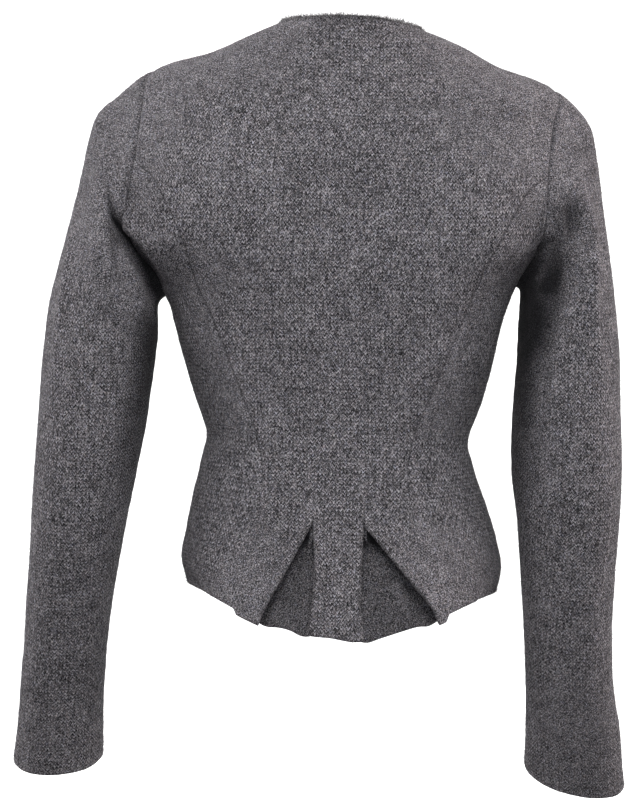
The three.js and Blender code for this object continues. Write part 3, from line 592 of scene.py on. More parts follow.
def sleeve_grid(side):
    table = SLEEVES[side]
    last = len(table) - 1
    # one ring of points: shares of the back half, then of the front half, even in length
    _, _, sb = armhole_line(side, False)
    _, _, sf = armhole_line(side, True)
    n_half = int(round(330 / 2 / STEP))
    share = np.linspace(0, 1, n_half + 1)
    rb, ab = armhole_at(side, False, share)
    rf, af = armhole_at(side, True, share[1:-1][::-1])
    rim_r, rim_a = np.concatenate([rb, rf]), np.concatenate([ab, af])
    rim_share = np.concatenate([share, share[1:-1][::-1]])
    is_back = np.concatenate([np.ones(n_half + 1, bool), np.zeros(n_half - 1, bool)])
    rim_p = body_point(rim_r, rim_a)
    rim_n = body_normal(rim_r, rim_a)
    m = len(rim_p)
    zero = sleeve_frame(table, np.zeros(1), side, np.zeros(1))
    d = rim_p - zero["mid"][0]
    loc = np.stack([d @ zero["e"][0] / zero["half"][0], d @ zero["back"][0] / zero["S"][0, 5],
                    d @ zero["along"][0]], -1)
    # rings, a cell apart along the longer of the outer and the inner line
    kk = np.linspace(0, last, 1200)
    T = at(table, kk)
    so = np.linalg.norm(np.diff(np.stack([T[:, 0], T[:, 4], T[:, 1]], -1), axis=0), axis=1)
    si = np.linalg.norm(np.diff(np.stack([T[:, 2], T[:, 4], T[:, 3]], -1), axis=0), axis=1)
    s = np.concatenate([[0], np.cumsum(np.maximum(so, si))])
    ks = np.interp(spread_positions(s[-1], int(s[-1] / STEP)), s, kk)
    ahead, behind = at(table, np.minimum(ks + 0.5, last)), at(table, np.maximum(ks - 0.5, 0))
    run_y = ahead[:, 4] - behind[:, 4]
    run_z = (ahead[:, 1] + ahead[:, 3] - behind[:, 1] - behind[:, 3]) / 2
    lean = np.arctan2(run_y, np.abs(run_z)) * smooth((ks - 7) / 4)
    F = sleeve_frame(table, ks, side, lean)
    tt = np.linspace(0, math.pi, 721)
    P = np.empty((len(ks), m, 3))
    for i in range(len(ks)):
        half, depth, q = F["half"][i], F["S"][i, 5], F["S"][i, 6]
        ex, dy = superellipse(tt, q)
        ln = np.concatenate([[0], np.cumsum(np.hypot(np.diff(ex) * half, np.diff(dy) * depth))])
        exs = np.interp(rim_share * ln[-1], ln, ex)
        dys = np.interp(rim_share * ln[-1], ln, dy) * np.where(is_back, 1, -1)
        c = F["S"][i, 7]
        # how the armhole's own bow is carried on
        ee = exs * (1 - c) + loc[:, 0] * c
        bb = dys * (1 - c) + loc[:, 1] * c
        P[i] = (F["mid"][i] + ee[:, None] * F["e"][i] * half + bb[:, None] * F["back"][i] * depth
                + (loc[:, 2] * c)[:, None] * F["along"][i])
    P[0] = rim_p
    return dict(P=P, rim_p=rim_p, rim_n=rim_n, rim_r=rim_r, rim_a=rim_a, is_back=is_back, share=rim_share, ks=ks,
                n_half=n_half, m=m)


SL = {}
for side in (-1, 1):
    G = sleeve_grid(side)
    N = grid_normals(G["P"], closed=True) * side
    G["N"] = N
    # ring 0 is shared with the body; a few rings on, the sleeve's own direction
    G["seam_n"] = unit(G["rim_n"] + N[3])
    step = G["P"][3] - G["P"][0]
    G["away"] = unit(step - (step * G["seam_n"]).sum(-1, keepdims=True) * G["seam_n"])
    SL[side] = G


def seam_normals_near(P, N, reach=11.0):
    """Turns the normals near an armhole towards the one that both sides share there."""
    out = N.copy()
    keep = np.ones(len(P))
    for side in (-1, 1):
        G = SL[side]
        near = np.where(P[:, 0] * side > 95)[0]
        if not len(near):
            continue
        tree = kdtree.KDTree(G["m"])
        for i, p in enumerate(G["rim_p"]):
            tree.insert(p, i)
        tree.balance()
        for v in near:
            co, i, dist = tree.find(P[v])
            if dist < reach:
                k = smooth(dist / reach)
                out[v] = N[v] * k + G["seam_n"][i] * (1 - k)
                keep[v] = min(keep[v], float(k))
    return unit(out), keep


# ------------------------------------------------------------------ the photographed creases
LEFT_ARM, RIGHT_ARM = ("sleeve_left",), ("sleeve_right",)
LEFT_PIT = ("sleeve_left", "side_back_left", "back_center")
RIGHT_PIT = ("sleeve_right", "side_back_right", "back_center")
# left underarm: a fold that starts as a thin line on the sleeve and opens towards the armpit
LEFT_FOLD = [(-206, -148), (-202, -161), (-199, -174), (-195, -187), (-188, -199), (-180, -211), (-171, -224), (-163, -238), (-158, -252)]
crease("back", LEFT_PIT, LEFT_FOLD, [-1.5, -3, -5, -7.5, -9.5, -10, -9.5, -8, -5], [3, 3, 3, 3, 3.2, 3.6, 4.4, 6, 8],
       [6, 6, 6, 6, 6, 6.5, 7, 7.5, 8], ends=(0.15, 0.1))
crease("back", LEFT_ARM, [(-194, -204), (-186, -222), (-180, -240), (-176, -262), (-175, -292)],
       [2, 6, 8, 7, 3], 10.5, ends=(0.3, 0.4))
# painted shade along the fold and on past the armpit, with no change of shape
crease("back", LEFT_ARM, LEFT_FOLD + [(-156, -268), (-156, -288), (-159, -312)], 0,
       [2.5, 2.5, 3, 4, 6, 9, 12, 14, 16, 22, 26, 30], [4, 3.5, 3.5, 3.5, 4, 4.5, 5, 6, 7, 9, 11, 12],
       ends=(0.15, 0.12), painted_shade_depth=[2, 5, 10, 16, 19, 20, 20, 20, 20, 19, 17, 14])
# painted shade down the inner side of the left sleeve, with no change of shape
crease("back", LEFT_ARM, [(-156, -256), (-162, -310), (-167, -350), (-174, -400), (-181, -450)],
       0, 15, ends=(0.12, 0.3), painted_shade_depth=[21, 19, 15, 11, 7, 3])
# its shoulder on the body's side rises a little, and the sleeve's back bulges softly beside it
crease("back", LEFT_PIT, [(-190, -168), (-186, -184), (-178, -198), (-167, -211), (-157, -228)],
       [1.2, 2.2, 2.6, 2.2, 1.0], [6, 7, 7, 7, 6], ends=(0.35, 0.3))
crease("back", LEFT_ARM, [(-216, -164), (-212, -190), (-205, -216), (-196, -240), (-190, -270), (-188, -310)],
       [1.5, 2.8, 3.2, 3, 2.4, 1.6], [13, 14, 15, 16, 18, 20], ends=(0.3, 0.5))
# right underarm: a broad soft hollow between the seam and the sleeve's ridge, with a small fold that
# runs up from the armpit, and the inner side of the sleeve below in painted shade
crease("back", RIGHT_ARM, [(189, -146), (188, -172), (184, -202)], [-5, -7, -6], 12.5, ends=(0.42, 0.42))
crease("back", RIGHT_ARM, [(184, -186), (178, -225), (170, -262), (164, -312)], [-5, -7, -6, -3], 13, ends=(0.3, 0.4))
# painted shade in the broad hollow and down towards the armpit, with no change of shape
crease("back", RIGHT_ARM, [(190, -140), (186, -172), (177, -212)], 0, 16, ends=(0.42, 0.42), painted_shade_depth=9.5)
crease("back", RIGHT_ARM, [(184, -172), (156, -256)], 0, 15, ends=(0.3, 0.3), painted_shade_depth=[8, 12, 17, 17])
crease("back", RIGHT_ARM, [(173, -180), (149, -234)], 0, 12, ends=(0.25, 0.1), painted_shade_depth=[6, 16, 22, 23])
crease("back", RIGHT_PIT, [(158, -201), (165, -196), (172, -192), (179, -187)],
       [-1.5, -2.5, -2, -0.5], 3.2, ends=(0.2, 0.3))
# painted shade along the small fold
crease("back", RIGHT_ARM, [(157, -202), (165, -196), (172, -192), (181, -186)],
       0, 3.4, ends=(0.05, 0.4), painted_shade_depth=[14, 12, 9, 5])
# painted shade down the inner side of the right sleeve, with no change of shape
crease("back", RIGHT_ARM, [(152, -206), (151, -250), (151, -300), (151, -350), (153, -400), (157, -450)],
       0, [21, 21, 19, 17, 16, 15], ends=(0.08, 0.3), painted_shade_depth=[21.5, 21.5, 20, 17, 12, 8, 4])
# painted shade on the body beside the right armpit
crease("back", ("side_back_right", "back_center"), [(167, -188), (158, -206), (150, -222)],
       0, 3.2, ends=(0.3, 0.3), painted_shade_depth=[4, 8, 6])
crease("back", RIGHT_ARM, [(176, -141), (186, -147), (195, -155), (202, -167), (205, -183), (205, -202), (205, -224), (207, -249), (211, -285)],
       [1.5, 3.5, 5.5, 6.5, 6.5, 6, 5, 3.5, 1.5], [5.5, 5.5, 5.5, 5.5, 5.5, 6.5, 8, 10, 12], ends=(0.2, 0.4))
# the body stays broad and flat right up to the armpits
crease("back", ("side_back_left",), [(-141, -238), (-134, -262), (-127, -290), (-119, -325)],
       [2.5, 3, 2.4, 1.2], 14, 7, ends=(0.3, 0.4))
crease("back", ("side_back_right",), [(134, -232), (125, -262), (119, -292), (113, -325)],
       [2.5, 3, 2.4, 1.2], 7, 14, ends=(0.3, 0.4))
# soft pressed ridges down the outer back of both sleeves
crease("back", LEFT_ARM, [(-229, -176), (-234, -222), (-239, -269), (-241, -300), (-243, -335), (-244, -372)],
       [1.8, 3.2, 3.5, 2.8, 1.8, 0.8], [3.0, 3.0, 3.3, 3.7, 4, 5], ends=(0.2, 0.4))
crease("back", RIGHT_ARM, [(205, -176), (207, -205), (209, -240), (214, -275), (219, -312), (222, -350)],
       [1.3, 2.2, 2.2, 1.7, 1.2, 0.6], [3.2, 3.0, 3.2, 3.8, 4.5, 5], ends=(0.2, 0.4))
# the same kinds of fold where they are hidden: in front of the armpits, in the crooks of the elbows,
# from the bust to the waist and at the sides of the waist
crease("front", ("sleeve_left", "front_left"), [(-199, -158), (-194, -180), (-185, -202), (-173, -224), (-160, -247)],
       [-1.5, -3.5, -5, -5, -3], [4, 4, 4.5, 5, 6], [6, 6, 7, 8, 9], ends=(0.25, 0.2))
# painted shade in the fold in front of the left armpit
crease("front", LEFT_ARM, [(-197, -165), (-186, -202), (-173, -226), (-158, -256)], 0, 5, ends=(0.3, 0.2), painted_shade_depth=[3, 9, 13, 13])
crease("front", ("sleeve_right", "front_right"), [(186, -154), (182, -178), (174, -200), (162, -224)],
       [-1.5, -3.5, -4.5, -3], [6, 7, 8, 9], [4, 4, 4.5, 5], ends=(0.25, 0.2))
# painted shade in the fold in front of the right armpit
crease("front", RIGHT_ARM, [(184, -160), (175, -196), (158, -232)], 0, 5.5, ends=(0.3, 0.2), painted_shade_depth=[3, 9, 13])
crease("front", LEFT_ARM, [(-250, -338), (-226, -352), (-198, -357)], [-1, -2.6, -1.4], 6, 8, ends=(0.3, 0.35))
crease("front", LEFT_ARM, [(-247, -384), (-222, -381), (-192, -388)], [-0.8, -2.0, -1.0], 7, 6, ends=(0.3, 0.35))
crease("front", LEFT_ARM, [(-246, -362), (-222, -367), (-196, -373)], [0.6, 1.5, 0.8], 7, ends=(0.3, 0.35))
crease("front", RIGHT_ARM, [(236, -346), (208, -355), (176, -351)], [-0.9, -2.3, -1.2], 7, 6, ends=(0.3, 0.35))
crease("front", RIGHT_ARM, [(238, -374), (212, -386), (182, -390)], [-1.1, -2.4, -1.0], 6, 8, ends=(0.3, 0.35))
crease("front", RIGHT_ARM, [(232, -362), (208, -370), (184, -371)], [0.6, 1.4, 0.8], 7, ends=(0.3, 0.35))
crease("front", ("front_left",), [(-116, -246), (-98, -292), (-80, -338)], [-0.7, -1.6, -0.9], 12, 15, ends=(0.35, 0.35))
crease("front", ("front_right",), [(110, -252), (96, -300), (72, -346)], [-0.8, -1.5, -0.8], 14, 12, ends=(0.35, 0.35))
crease("front", ("front_left", "front_right"), [(-70, -366), (-30, -358), (2, -356), (36, -360), (76, -370)],
       [-0.5, -1.1, -0.3, -1.2, -0.6], 8, ends=(0.2, 0.2))
crease("left", ("side_back_left", "front_left"), [(-58, -374), (-6, -366), (48, -372)], [-0.6, -1.5, -0.8], 9, ends=(0.35, 0.35))
crease("right", ("side_back_right", "front_right"), [(-52, -370), (0, -365), (56, -376)], [-0.6, -1.4, -0.7], 9, ends=(0.35, 0.35))
# where the lower back springs away from the waist
crease("back", ("back_center", "side_back_left", "side_back_right"),
       [(-118, -421), (-80, -431), (-40, -436), (0, -437), (40, -436), (80, -431), (122, -421)],
       [-0.5, -0.8, -1.1, -1.2, -1.0, -0.8, -0.5], [9, 8, 7, 7, 8, 9, 9], ends=(0.08, 0.08))


# ------------------------------------------------------------------ body panels
def panel(name, rows, limits, n_cols, seed, edge_kinds, front=False, lift=None, extra=None, wall=WALL):
    """A panel whose rows run from limits(r)[0] to limits(r)[1].
    edge_kinds: bottom, right, top, left."""
    A = np.empty((len(rows), n_cols + 1))
    for i, r in enumerate(rows):
        lo, hi = limits(r)
        A[i] = row_angles(r, lo, hi, lambda L: spread_positions(L, n_cols), SEAM / 2, SEAM / 2)
    R = np.repeat(rows[:, None], n_cols + 1, axis=1)
    P, N = body_point(R, A), body_normal(R, A)
    flat_n, keep = seam_normals_near(P.reshape(-1, 3), N.reshape(-1, 3))
    if lift is not None:
        P = P + N * lift(P)[..., None]
    mid = P - flat_n.reshape(P.shape) * wall / 2
    kinds = dict(zip(("bottom", "right", "top", "left"), edge_kinds))
    edges = [(along_line(mid[0]), kinds["bottom"]), (along_line(mid[:, -1]), kinds["right"]),
             (along_line(mid[-1]), kinds["top"]), (along_line(mid[:, 0]), kinds["left"])]
    shape = P.shape
    return shell(name, P, flat_n, grid_cells(len(rows), n_cols + 1), wall, edges, cloth_uv(P), seed,
                 steady=keep, regrid=lambda B: grid_normals(B.reshape(shape)).reshape(-1, 3),
                 extra=None if extra is None else extra(P))


for side, word in ((-1, "left"), (1, "right")):
    rows = rows_between(0, BLADE - 0.035, [side * 0.7, side * 1.1, side * 1.5], True, True)

    def limits(r, side=side):
        p, e = float(princess_angle(r, side)), float(edge_angle(r, side, False))
        return (e, p) if side < 0 else (p, e)
    panel(f"side_back_{word}", rows, limits, int(92 / STEP), 3 + side,
          ("free", "seam", "seam", "seam"))


def front_limits(side):
    def limits(r):
        e = float(edge_angle(r, side, True))
        past = float(angle_at_x(r, -side * OVERLAP, True)) + side * 2 * math.pi
        return (past, e) if side < 0 else (e, past)
    return limits


for side, word in ((-1, "left"), (1, "right")):
    rows = rows_between(0, NECK, [side * 1.65, side * 2.2, side * 2.9], True, True)
    under = (lambda P: -UNDER_DROP * smooth((P[..., 0] + OVERLAP + 26) / 20)) if side < 0 else None
    panel(f"front_{word}", rows, front_limits(side), int(205 / STEP), 7 + side,
          ("free", "free" if side > 0 else "seam", "free", "seam" if side > 0 else "free"), front=True, lift=under)


def back_center():
    name = "back_center"
    n_flap, n_strip = int(125 / STEP), int(92 / STEP)
    below = rows_between(0, SPRING, [0, 0.25, -0.25], True, False)
    above = rows_between(SPRING, NECK, [0, 0.6, -0.6], False, True)
    rows = np.concatenate([below, above[1:]])
    pts, nrm, ids, count = [], [], [], 0
    u_all, v_all, lift_all = [], [], []
    total = 2 * n_flap + n_strip
    for i, r in enumerate(rows):
        r = float(r)
        if r >= BLADE:
            aL, aR = float(edge_angle(r, -1, False)), float(edge_angle(r, 1, False))
        else:
            aL, aR = float(princess_angle(r, -1)), float(princess_angle(r, 1))
        if r < SPRING - 1e-6:
            (sL, fL, t), (sR, fR, _) = slit_edges(r, -1), slit_edges(r, 1)
            a1 = row_angles(r, aL, float(angle_at_x(r, fL)), lambda L: spread_positions(L, n_flap), SEAM / 2, 0)
            a2 = row_angles(r, float(angle_at_x(r, sL)), float(angle_at_x(r, sR)), lambda L: spread_positions(L, n_strip), 0, 0)
            a3 = row_angles(r, float(angle_at_x(r, fR)), aR, lambda L: spread_positions(L, n_flap), 0, SEAM / 2)
            angles = np.concatenate([a1, a2, a3])
            row = np.arange(count, count + len(angles))
            count += len(angles)
            P = body_point(np.full(angles.shape, r), angles)
            lift = np.zeros(len(angles))
            k = n_flap + 1
            # the free edges of the flaps stand off the body
            dL, dR = np.abs(P[:k, 0] - fL), np.abs(P[-k:, 0] - fR)
            lift[:k] = FLAP_LIFT * t * np.exp(-dL / FLAP_REACH)
            lift[-k:] = FLAP_LIFT * t * np.exp(-dR / FLAP_REACH)
            # their lower corners hang below the rest of the hem
            low = float(smooth(1 - r / 0.5))
            drop = np.zeros(len(angles))
            drop[:k] = 4.2 * low * smooth((21.5 - dL) / 3.0)
            drop[-k:] = 6.5 * low * smooth((8.5 - dR) / 3.0)
            # and so does the strip's right half
            drop[k:-k] = 3.4 * low * smooth((P[k:-k, 0] + 6) / 26)
            P[:, 2] -= drop
        else:
            sL, sR = float(slit_edges(SPRING, -1)[0]), float(slit_edges(SPRING, 1)[0])
            g = float(smooth((r - SPRING) / 6))
            e = 1 - float(smooth((r - SPRING) / 0.9))
            aa = np.linspace(aL, aR, 300)
            Q = body_point(np.full(aa.shape, r), aa)
            s = np.concatenate([[0], np.cumsum(np.linalg.norm(np.diff(Q, axis=0), axis=-1))])
            length = s[-1] - SEAM
            own = [np.interp(v, Q[:, 0], s) - SEAM / 2 for v in (sL, sR)]
            cut = [o * (1 - g) + length * w * g for o, w in zip(own, (n_flap / total, (n_flap + n_strip) / total))]
            pos = np.concatenate([
                spread_positions(cut[0], n_flap, 1, e),
                cut[0] + spread_positions(cut[1] - cut[0], n_strip, e, e)[1:],
                cut[1] + spread_positions(length - cut[1], n_flap, e, 1)[1:]])
            angles = np.interp(SEAM / 2 + pos, s, aa)
            made = np.arange(count, count + len(angles))
            count += len(angles)
            row = np.concatenate([made[:n_flap + 1], made[n_flap:n_flap + n_strip + 1], made[n_flap + n_strip:]])
            P = body_point(np.full(angles.shape, r), angles)
            lift = np.zeros(len(angles))
        N = body_normal(np.full(angles.shape, r), angles)
        pts.append(P + N * lift[:, None])
        nrm.append(N)
        ids.append(row)
    P, N, ids = np.concatenate(pts), np.concatenate(nrm), np.array(ids)
    flat_n, keep = seam_normals_near(P, N)
    # cells of the three strips, and a full grid of points for lengths and normals
    full = P[ids]
    parts = [(0, n_flap + 1), (n_flap + 1, n_flap + n_strip + 2), (n_flap + n_strip + 2, 2 * n_flap + n_strip + 3)]
    u = lengths(full, 1)
    c = n_flap + 1 + n_strip // 2
    u = u - u[:, c:c + 1]
    v = np.repeat(lengths(full, 0)[:, c:c + 1], full.shape[1], axis=1)
    cells, uvs = [], []
    for lo, hi in parts:
        sub = ids[:, lo:hi]
        cells.append(np.stack([sub[:-1, :-1], sub[:-1, 1:], sub[1:, 1:], sub[1:, :-1]], -1).reshape(-1, 4))
        uvs.append(grid_uv(u[:, lo:hi] * MM, v[:, lo:hi] * MM))
    cells, uvs = np.concatenate(cells), np.concatenate(uvs)
    mid = P - flat_n * WALL / 2
    slit_rows = int((rows < SPRING - 1e-6).sum())
    f1, s0, s1, f0 = n_flap, n_flap + 1, n_flap + n_strip + 1, n_flap + n_strip + 2
    edges = [(along_line(mid[ids[:, 0]]), "seam"), (along_line(mid[ids[:, -1]]), "seam")]
    for col in (f1, s0, s1, f0):
        edges.append((along_line(mid[ids[:slit_rows + 1, col]]), "free"))
    edges.append((along_line(mid[ids[-1]]), "free"))
    for lo, hi in parts:
        edges.append((along_line(mid[ids[0, lo:hi]]), "free"))
    # the slit edges are folds: they roll inwards, with the fold's thickness showing as a low ridge
    roll = np.zeros(len(P))
    for col, lo, hi in ((f1, *parts[0]), (s0, *parts[1]), (s1, *parts[1]), (f0, *parts[2])):
        line = along_line(mid[ids[:slit_rows + 1, col]])
        own = np.unique(ids[:slit_rows + 12, lo:hi])
        d = nearest(mid[own], line)
        is_flap = col in (f1, f0)
        ridge = (0.55 if is_flap else 0.45) * np.exp(-((d - 3.4) / 2.4) ** 2) - (0.35 if is_flap else 0.2) * np.exp(-((d - 9.0) / 3.0) ** 2)
        nose = -(0.9 if is_flap else 0.9) * (1 - rounded(d, 1.8))
        roll[own] += ridge + nose
    # neck edge: rolled, with a stitched line below it
    d_neck = nearest(mid, along_line(mid[ids[-1]]))
    roll += -1.1 * np.exp(-((d_neck - 6.3) / 1.2) ** 2) + 0.40 * np.exp(-((d_neck - 3.0) / 2.0) ** 2)

    def regrid(B):
        full = B[ids]
        n = np.zeros_like(B)
        for lo, hi in parts:
            n_part = grid_normals(full[:, lo:hi])
            np.add.at(n, ids[:, lo:hi], n_part)
        return unit(n)
    return shell(name, P, flat_n, cells, WALL, edges, uvs, 5, steady=keep, regrid=regrid, extra=roll)


back_center()


def sleeve(side, word):
    G = SL[side]
    P, N = G["P"].copy(), G["N"].copy()
    shape = P.shape
    m = G["m"]
    d0 = nearest(P[:60].reshape(-1, 3), along_line(G["rim_p"], closed=True)).reshape(60, m)
    d = np.full(shape[:2], 1e3)
    d[:60] = d0
    k = smooth(d / 11.0)[..., None]
    N = unit(N * k + G["seam_n"][None] * (1 - k))
    keep = k[..., 0]
    true_p = P.reshape(-1, 3).copy()
    P = P + G["away"][None] * (SEAM * (1 - smooth(d / 3.0)))[..., None]
    cells = grid_cells(shape[0], m, True)
    mid = P - N * WALL / 2
    edges = [(along_line(mid[0], closed=True), "seam"), (along_line(mid[-1], closed=True), "free")]
    # uv: round the sleeve from the top line, and down it
    girth = lengths(np.concatenate([P, P[:, :1]], axis=1), 1)
    u = girth - girth[:, G["n_half"]:G["n_half"] + 1] * 0
    v = lengths(P, 0)
    v = np.concatenate([v, v[:, :1]], axis=1)
    v = -(v - v[-1:, :])
    uvs = grid_uv(u * MM, v * MM)
    if side < 0:
        cells = cells[:, ::-1]
        uvs = uvs[:, ::-1]
    # the cap is eased into the armhole: small puckers beside the seam, strongest over the top
    along = G["share"] * 220
    top = smooth((0.62 - G["share"]) / 0.5)
    pucker = (np.sin(along * 2 * math.pi / 9.0 + 2.0 * np.sin(along * 0.21)) * 0.5
              + np.sin(along * 2 * math.pi / 14.0 + 1.3) * 0.5)
    cap = 1.5 * top * (1 - np.exp(-(d / 4.0) ** 2)) * np.exp(-(d / 26.0) ** 2) + 0.32 * top * pucker * np.exp(-((d - 5.0) / 4.0) ** 2)
    # columns counted from the line under the arm
    s_in = np.abs(np.arange(m) - G["n_half"])
    return shell(f"sleeve_{word}", P, N, cells, WALL, edges, uvs, 9 + side, steady=keep, extra=cap, true_p=true_p,
                 regrid=lambda B: (grid_normals(B.reshape(shape), closed=True) * side).reshape(-1, 3))


for side, word in ((-1, "left"), (1, "right")):
    sleeve(side, word)


def pleat(side, word):
    rows = rows_between(0, 2.92, [side * 0.2, side * 0.5], True, True)
    fine = 7
    t = np.linspace(0, len(PLEAT) - 1, (len(PLEAT) - 1) * fine + 1)
    secs = PLEAT[:, None, :]
    grid = np.empty((len(rows), len(PLEAT), 3))
    strips, flaps = np.empty(len(rows)), np.empty(len(rows))
    for i, r in enumerate(rows):
        strip, flap, tt = slit_edges(r, side)
        grow = 0.25 + 0.75 * tt
        x = np.where(PLEAT[:, 0] > 0, flap, strip) + side * PLEAT[:, 1] * RETURN * grow
        rr = np.full(len(PLEAT), r)
        a = angle_at_x(rr, x)
        base, n = body_point(rr, a), body_normal(rr, a)
        lift = np.where(PLEAT[:, 0] > 0, FLAP_LIFT * tt * np.exp(-np.maximum(0, PLEAT[:, 1]) * RETURN * grow / FLAP_REACH), 0)
        depth = PLEAT[:, 2] * (1 - tt) + PLEAT[:, 3] * tt - lift * PLEAT[:, 4]
        # the cloth dives where it goes back under the flap
        depth = depth + (1.8 + 3.6 * tt) * DIVE
        base = base - n * depth[:, None]
        base[:, 2] -= smooth(tt * 1.4 - 0.4) * HANG[side]
        grid[i] = base
        strips[i], flaps[i] = strip, flap
    # a smooth curve through the section's points
    P = np.stack([at(grid[i], t) for i in range(len(rows))])
    L = lengths(P, 1)
    n_cols = max(int(L[:, -1].max() / (STEP * 0.85)), 30)
    Q = np.empty((len(rows), n_cols + 1, 3))
    for i in range(len(rows)):
        want = spread_positions(L[i, -1], n_cols)
        for k in range(3):
            Q[i, :, k] = np.interp(want, L[i], P[i, :, k])
    N = grid_normals(Q) * side
    shape = Q.shape
    mid = Q - N * PLEAT_WALL / 2
    edges = [(along_line(mid[0]), "free"), (along_line(mid[:, -1]), "free"), (along_line(mid[-1]), "free"),
             (along_line(mid[:, 0]), "free")]
    # in the shade: at the slit's top, beside the flap that stands over it, and beside the strip
    x, z = Q[..., 0], Q[..., 2]
    painted_shade_depth = (26 * np.exp(-((-436 - z) / 16.0) ** 2) + 9 * np.exp(-np.abs(x - flaps[:, None]) / 6.0)
            + (9 if side > 0 else 5) * np.exp(-np.abs(x - strips[:, None]) / 3.5) * np.interp(z, [-520, -470], [0.6, 1.0]))
    cells, uvs = grid_cells(*shape[:2]), cloth_uv(Q)
    if side < 0:
        cells, uvs = cells[:, ::-1], uvs[:, ::-1]
    return shell(f"pleat_{word}", Q, N, cells, PLEAT_WALL, edges, uvs, 15 + side, lumps=0.35, painted_shade_depth=painted_shade_depth,
                 regrid=lambda B: (grid_normals(B.reshape(shape)) * side).reshape(-1, 3), creases=False)


for side, word in ((-1, "left"), (1, "right")):
    pleat(side, word)


# ------------------------------------------------------------------ materials
def new_material(name):
    mat = bpy.data.materials.new(name)
    mat.use_nodes = True
    nt = mat.node_tree
    nt.nodes.clear()
    out = nt.nodes.new("ShaderNodeOutputMaterial")
    bsdf = nt.nodes.new("ShaderNodeBsdfPrincipled")
    nt.links.new(bsdf.outputs[0], out.inputs["Surface"])
    return mat, nt, bsdf


class Nodes:
    """Short names for the shader nodes that the materials use."""

    def __init__(self, tree):
        self.t = tree

    def put(self, socket, value):
        if hasattr(value, "is_output"):
            self.t.links.new(value, socket)
        elif isinstance(value, (tuple, list)) and len(value) == 3 and socket.type == "RGBA":
            socket.default_value = (*value, 1.0)
        else:
            socket.default_value = value

    def math(self, op, a, b=None, c=None, clamp=False):
        n = self.t.nodes.new("ShaderNodeMath")
        n.operation, n.use_clamp = op, clamp
        for i, v in enumerate((a, b, c)):
            if v is not None:
                self.put(n.inputs[i], v)
        return n.outputs[0]

    def vec(self, op, a, b=None, out=0):
        n = self.t.nodes.new("ShaderNodeVectorMath")
        n.operation = op
        self.put(n.inputs[0], a)
        if b is not None:
            self.put(n.inputs[1], b)
        return n.outputs[out]

    def combine(self, x, y, z):
        n = self.t.nodes.new("ShaderNodeCombineXYZ")
        for i, v in enumerate((x, y, z)):
            self.put(n.inputs[i], v)
        return n.outputs[0]

    def separate(self, v):
        n = self.t.nodes.new("ShaderNodeSeparateXYZ")
        self.put(n.inputs[0], v)
        return n.outputs

    def noise(self, vector, scale, detail=2.0, rough=0.5, distort=0.0, out="Fac"):
        n = self.t.nodes.new("ShaderNodeTexNoise")
        self.put(n.inputs["Vector"], vector)
        n.inputs["Scale"].default_value = scale
        n.inputs["Detail"].default_value = detail
        n.inputs["Roughness"].default_value = rough
        n.inputs["Distortion"].default_value = distort
        return n.outputs[out]

    def voronoi(self, vector, scale, feature="F1", out="Distance", rand=1.0):
        n = self.t.nodes.new("ShaderNodeTexVoronoi")
        n.feature = feature
        self.put(n.inputs["Vector"], vector)
        n.inputs["Scale"].default_value = scale
        n.inputs["Randomness"].default_value = rand
        return n.outputs[out]

    def ramp(self, fac, stops, mode="LINEAR"):
        n = self.t.nodes.new("ShaderNodeValToRGB")
        n.color_ramp.interpolation = mode
        el = n.color_ramp.elements
        while len(el) < len(stops):
            el.new(0.5)
        for e, (pos, col) in zip(el, stops):
            e.position = pos
            e.color = (*col, 1.0) if len(col) == 3 else col
        self.put(n.inputs[0], fac)
        return n.outputs[0]

    def scale_range(self, v, a, b, c, d):
        n = self.t.nodes.new("ShaderNodeMapRange")
        self.put(n.inputs[0], v)
        for i, x in zip((1, 2, 3, 4), (a, b, c, d)):
            n.inputs[i].default_value = x
        return n.outputs[0]

    def mix(self, fac, a, b, blend="MIX"):
        n = self.t.nodes.new("ShaderNodeMix")
        n.data_type, n.blend_type = "RGBA", blend
        self.put(n.inputs[0], fac)
        self.put(n.inputs[6], a)
        self.put(n.inputs[7], b)
        return n.outputs[2]

    def bump(self, height, strength, distance, normal=None):
        n = self.t.nodes.new("ShaderNodeBump")
        n.inputs["Strength"].default_value = strength
        n.inputs["Distance"].default_value = distance
        self.put(n.inputs["Height"], height)
        if normal is not None:
            self.put(n.inputs["Normal"], normal)
        return n.outputs[0]

    def attribute(self, name, out="Fac"):
        n = self.t.nodes.new("ShaderNodeAttribute")
        n.attribute_name = name
        return n.outputs[out]


WALE, COURSE = 0.0030, 0.0033          # a knitted stitch of the felted cloth, metres


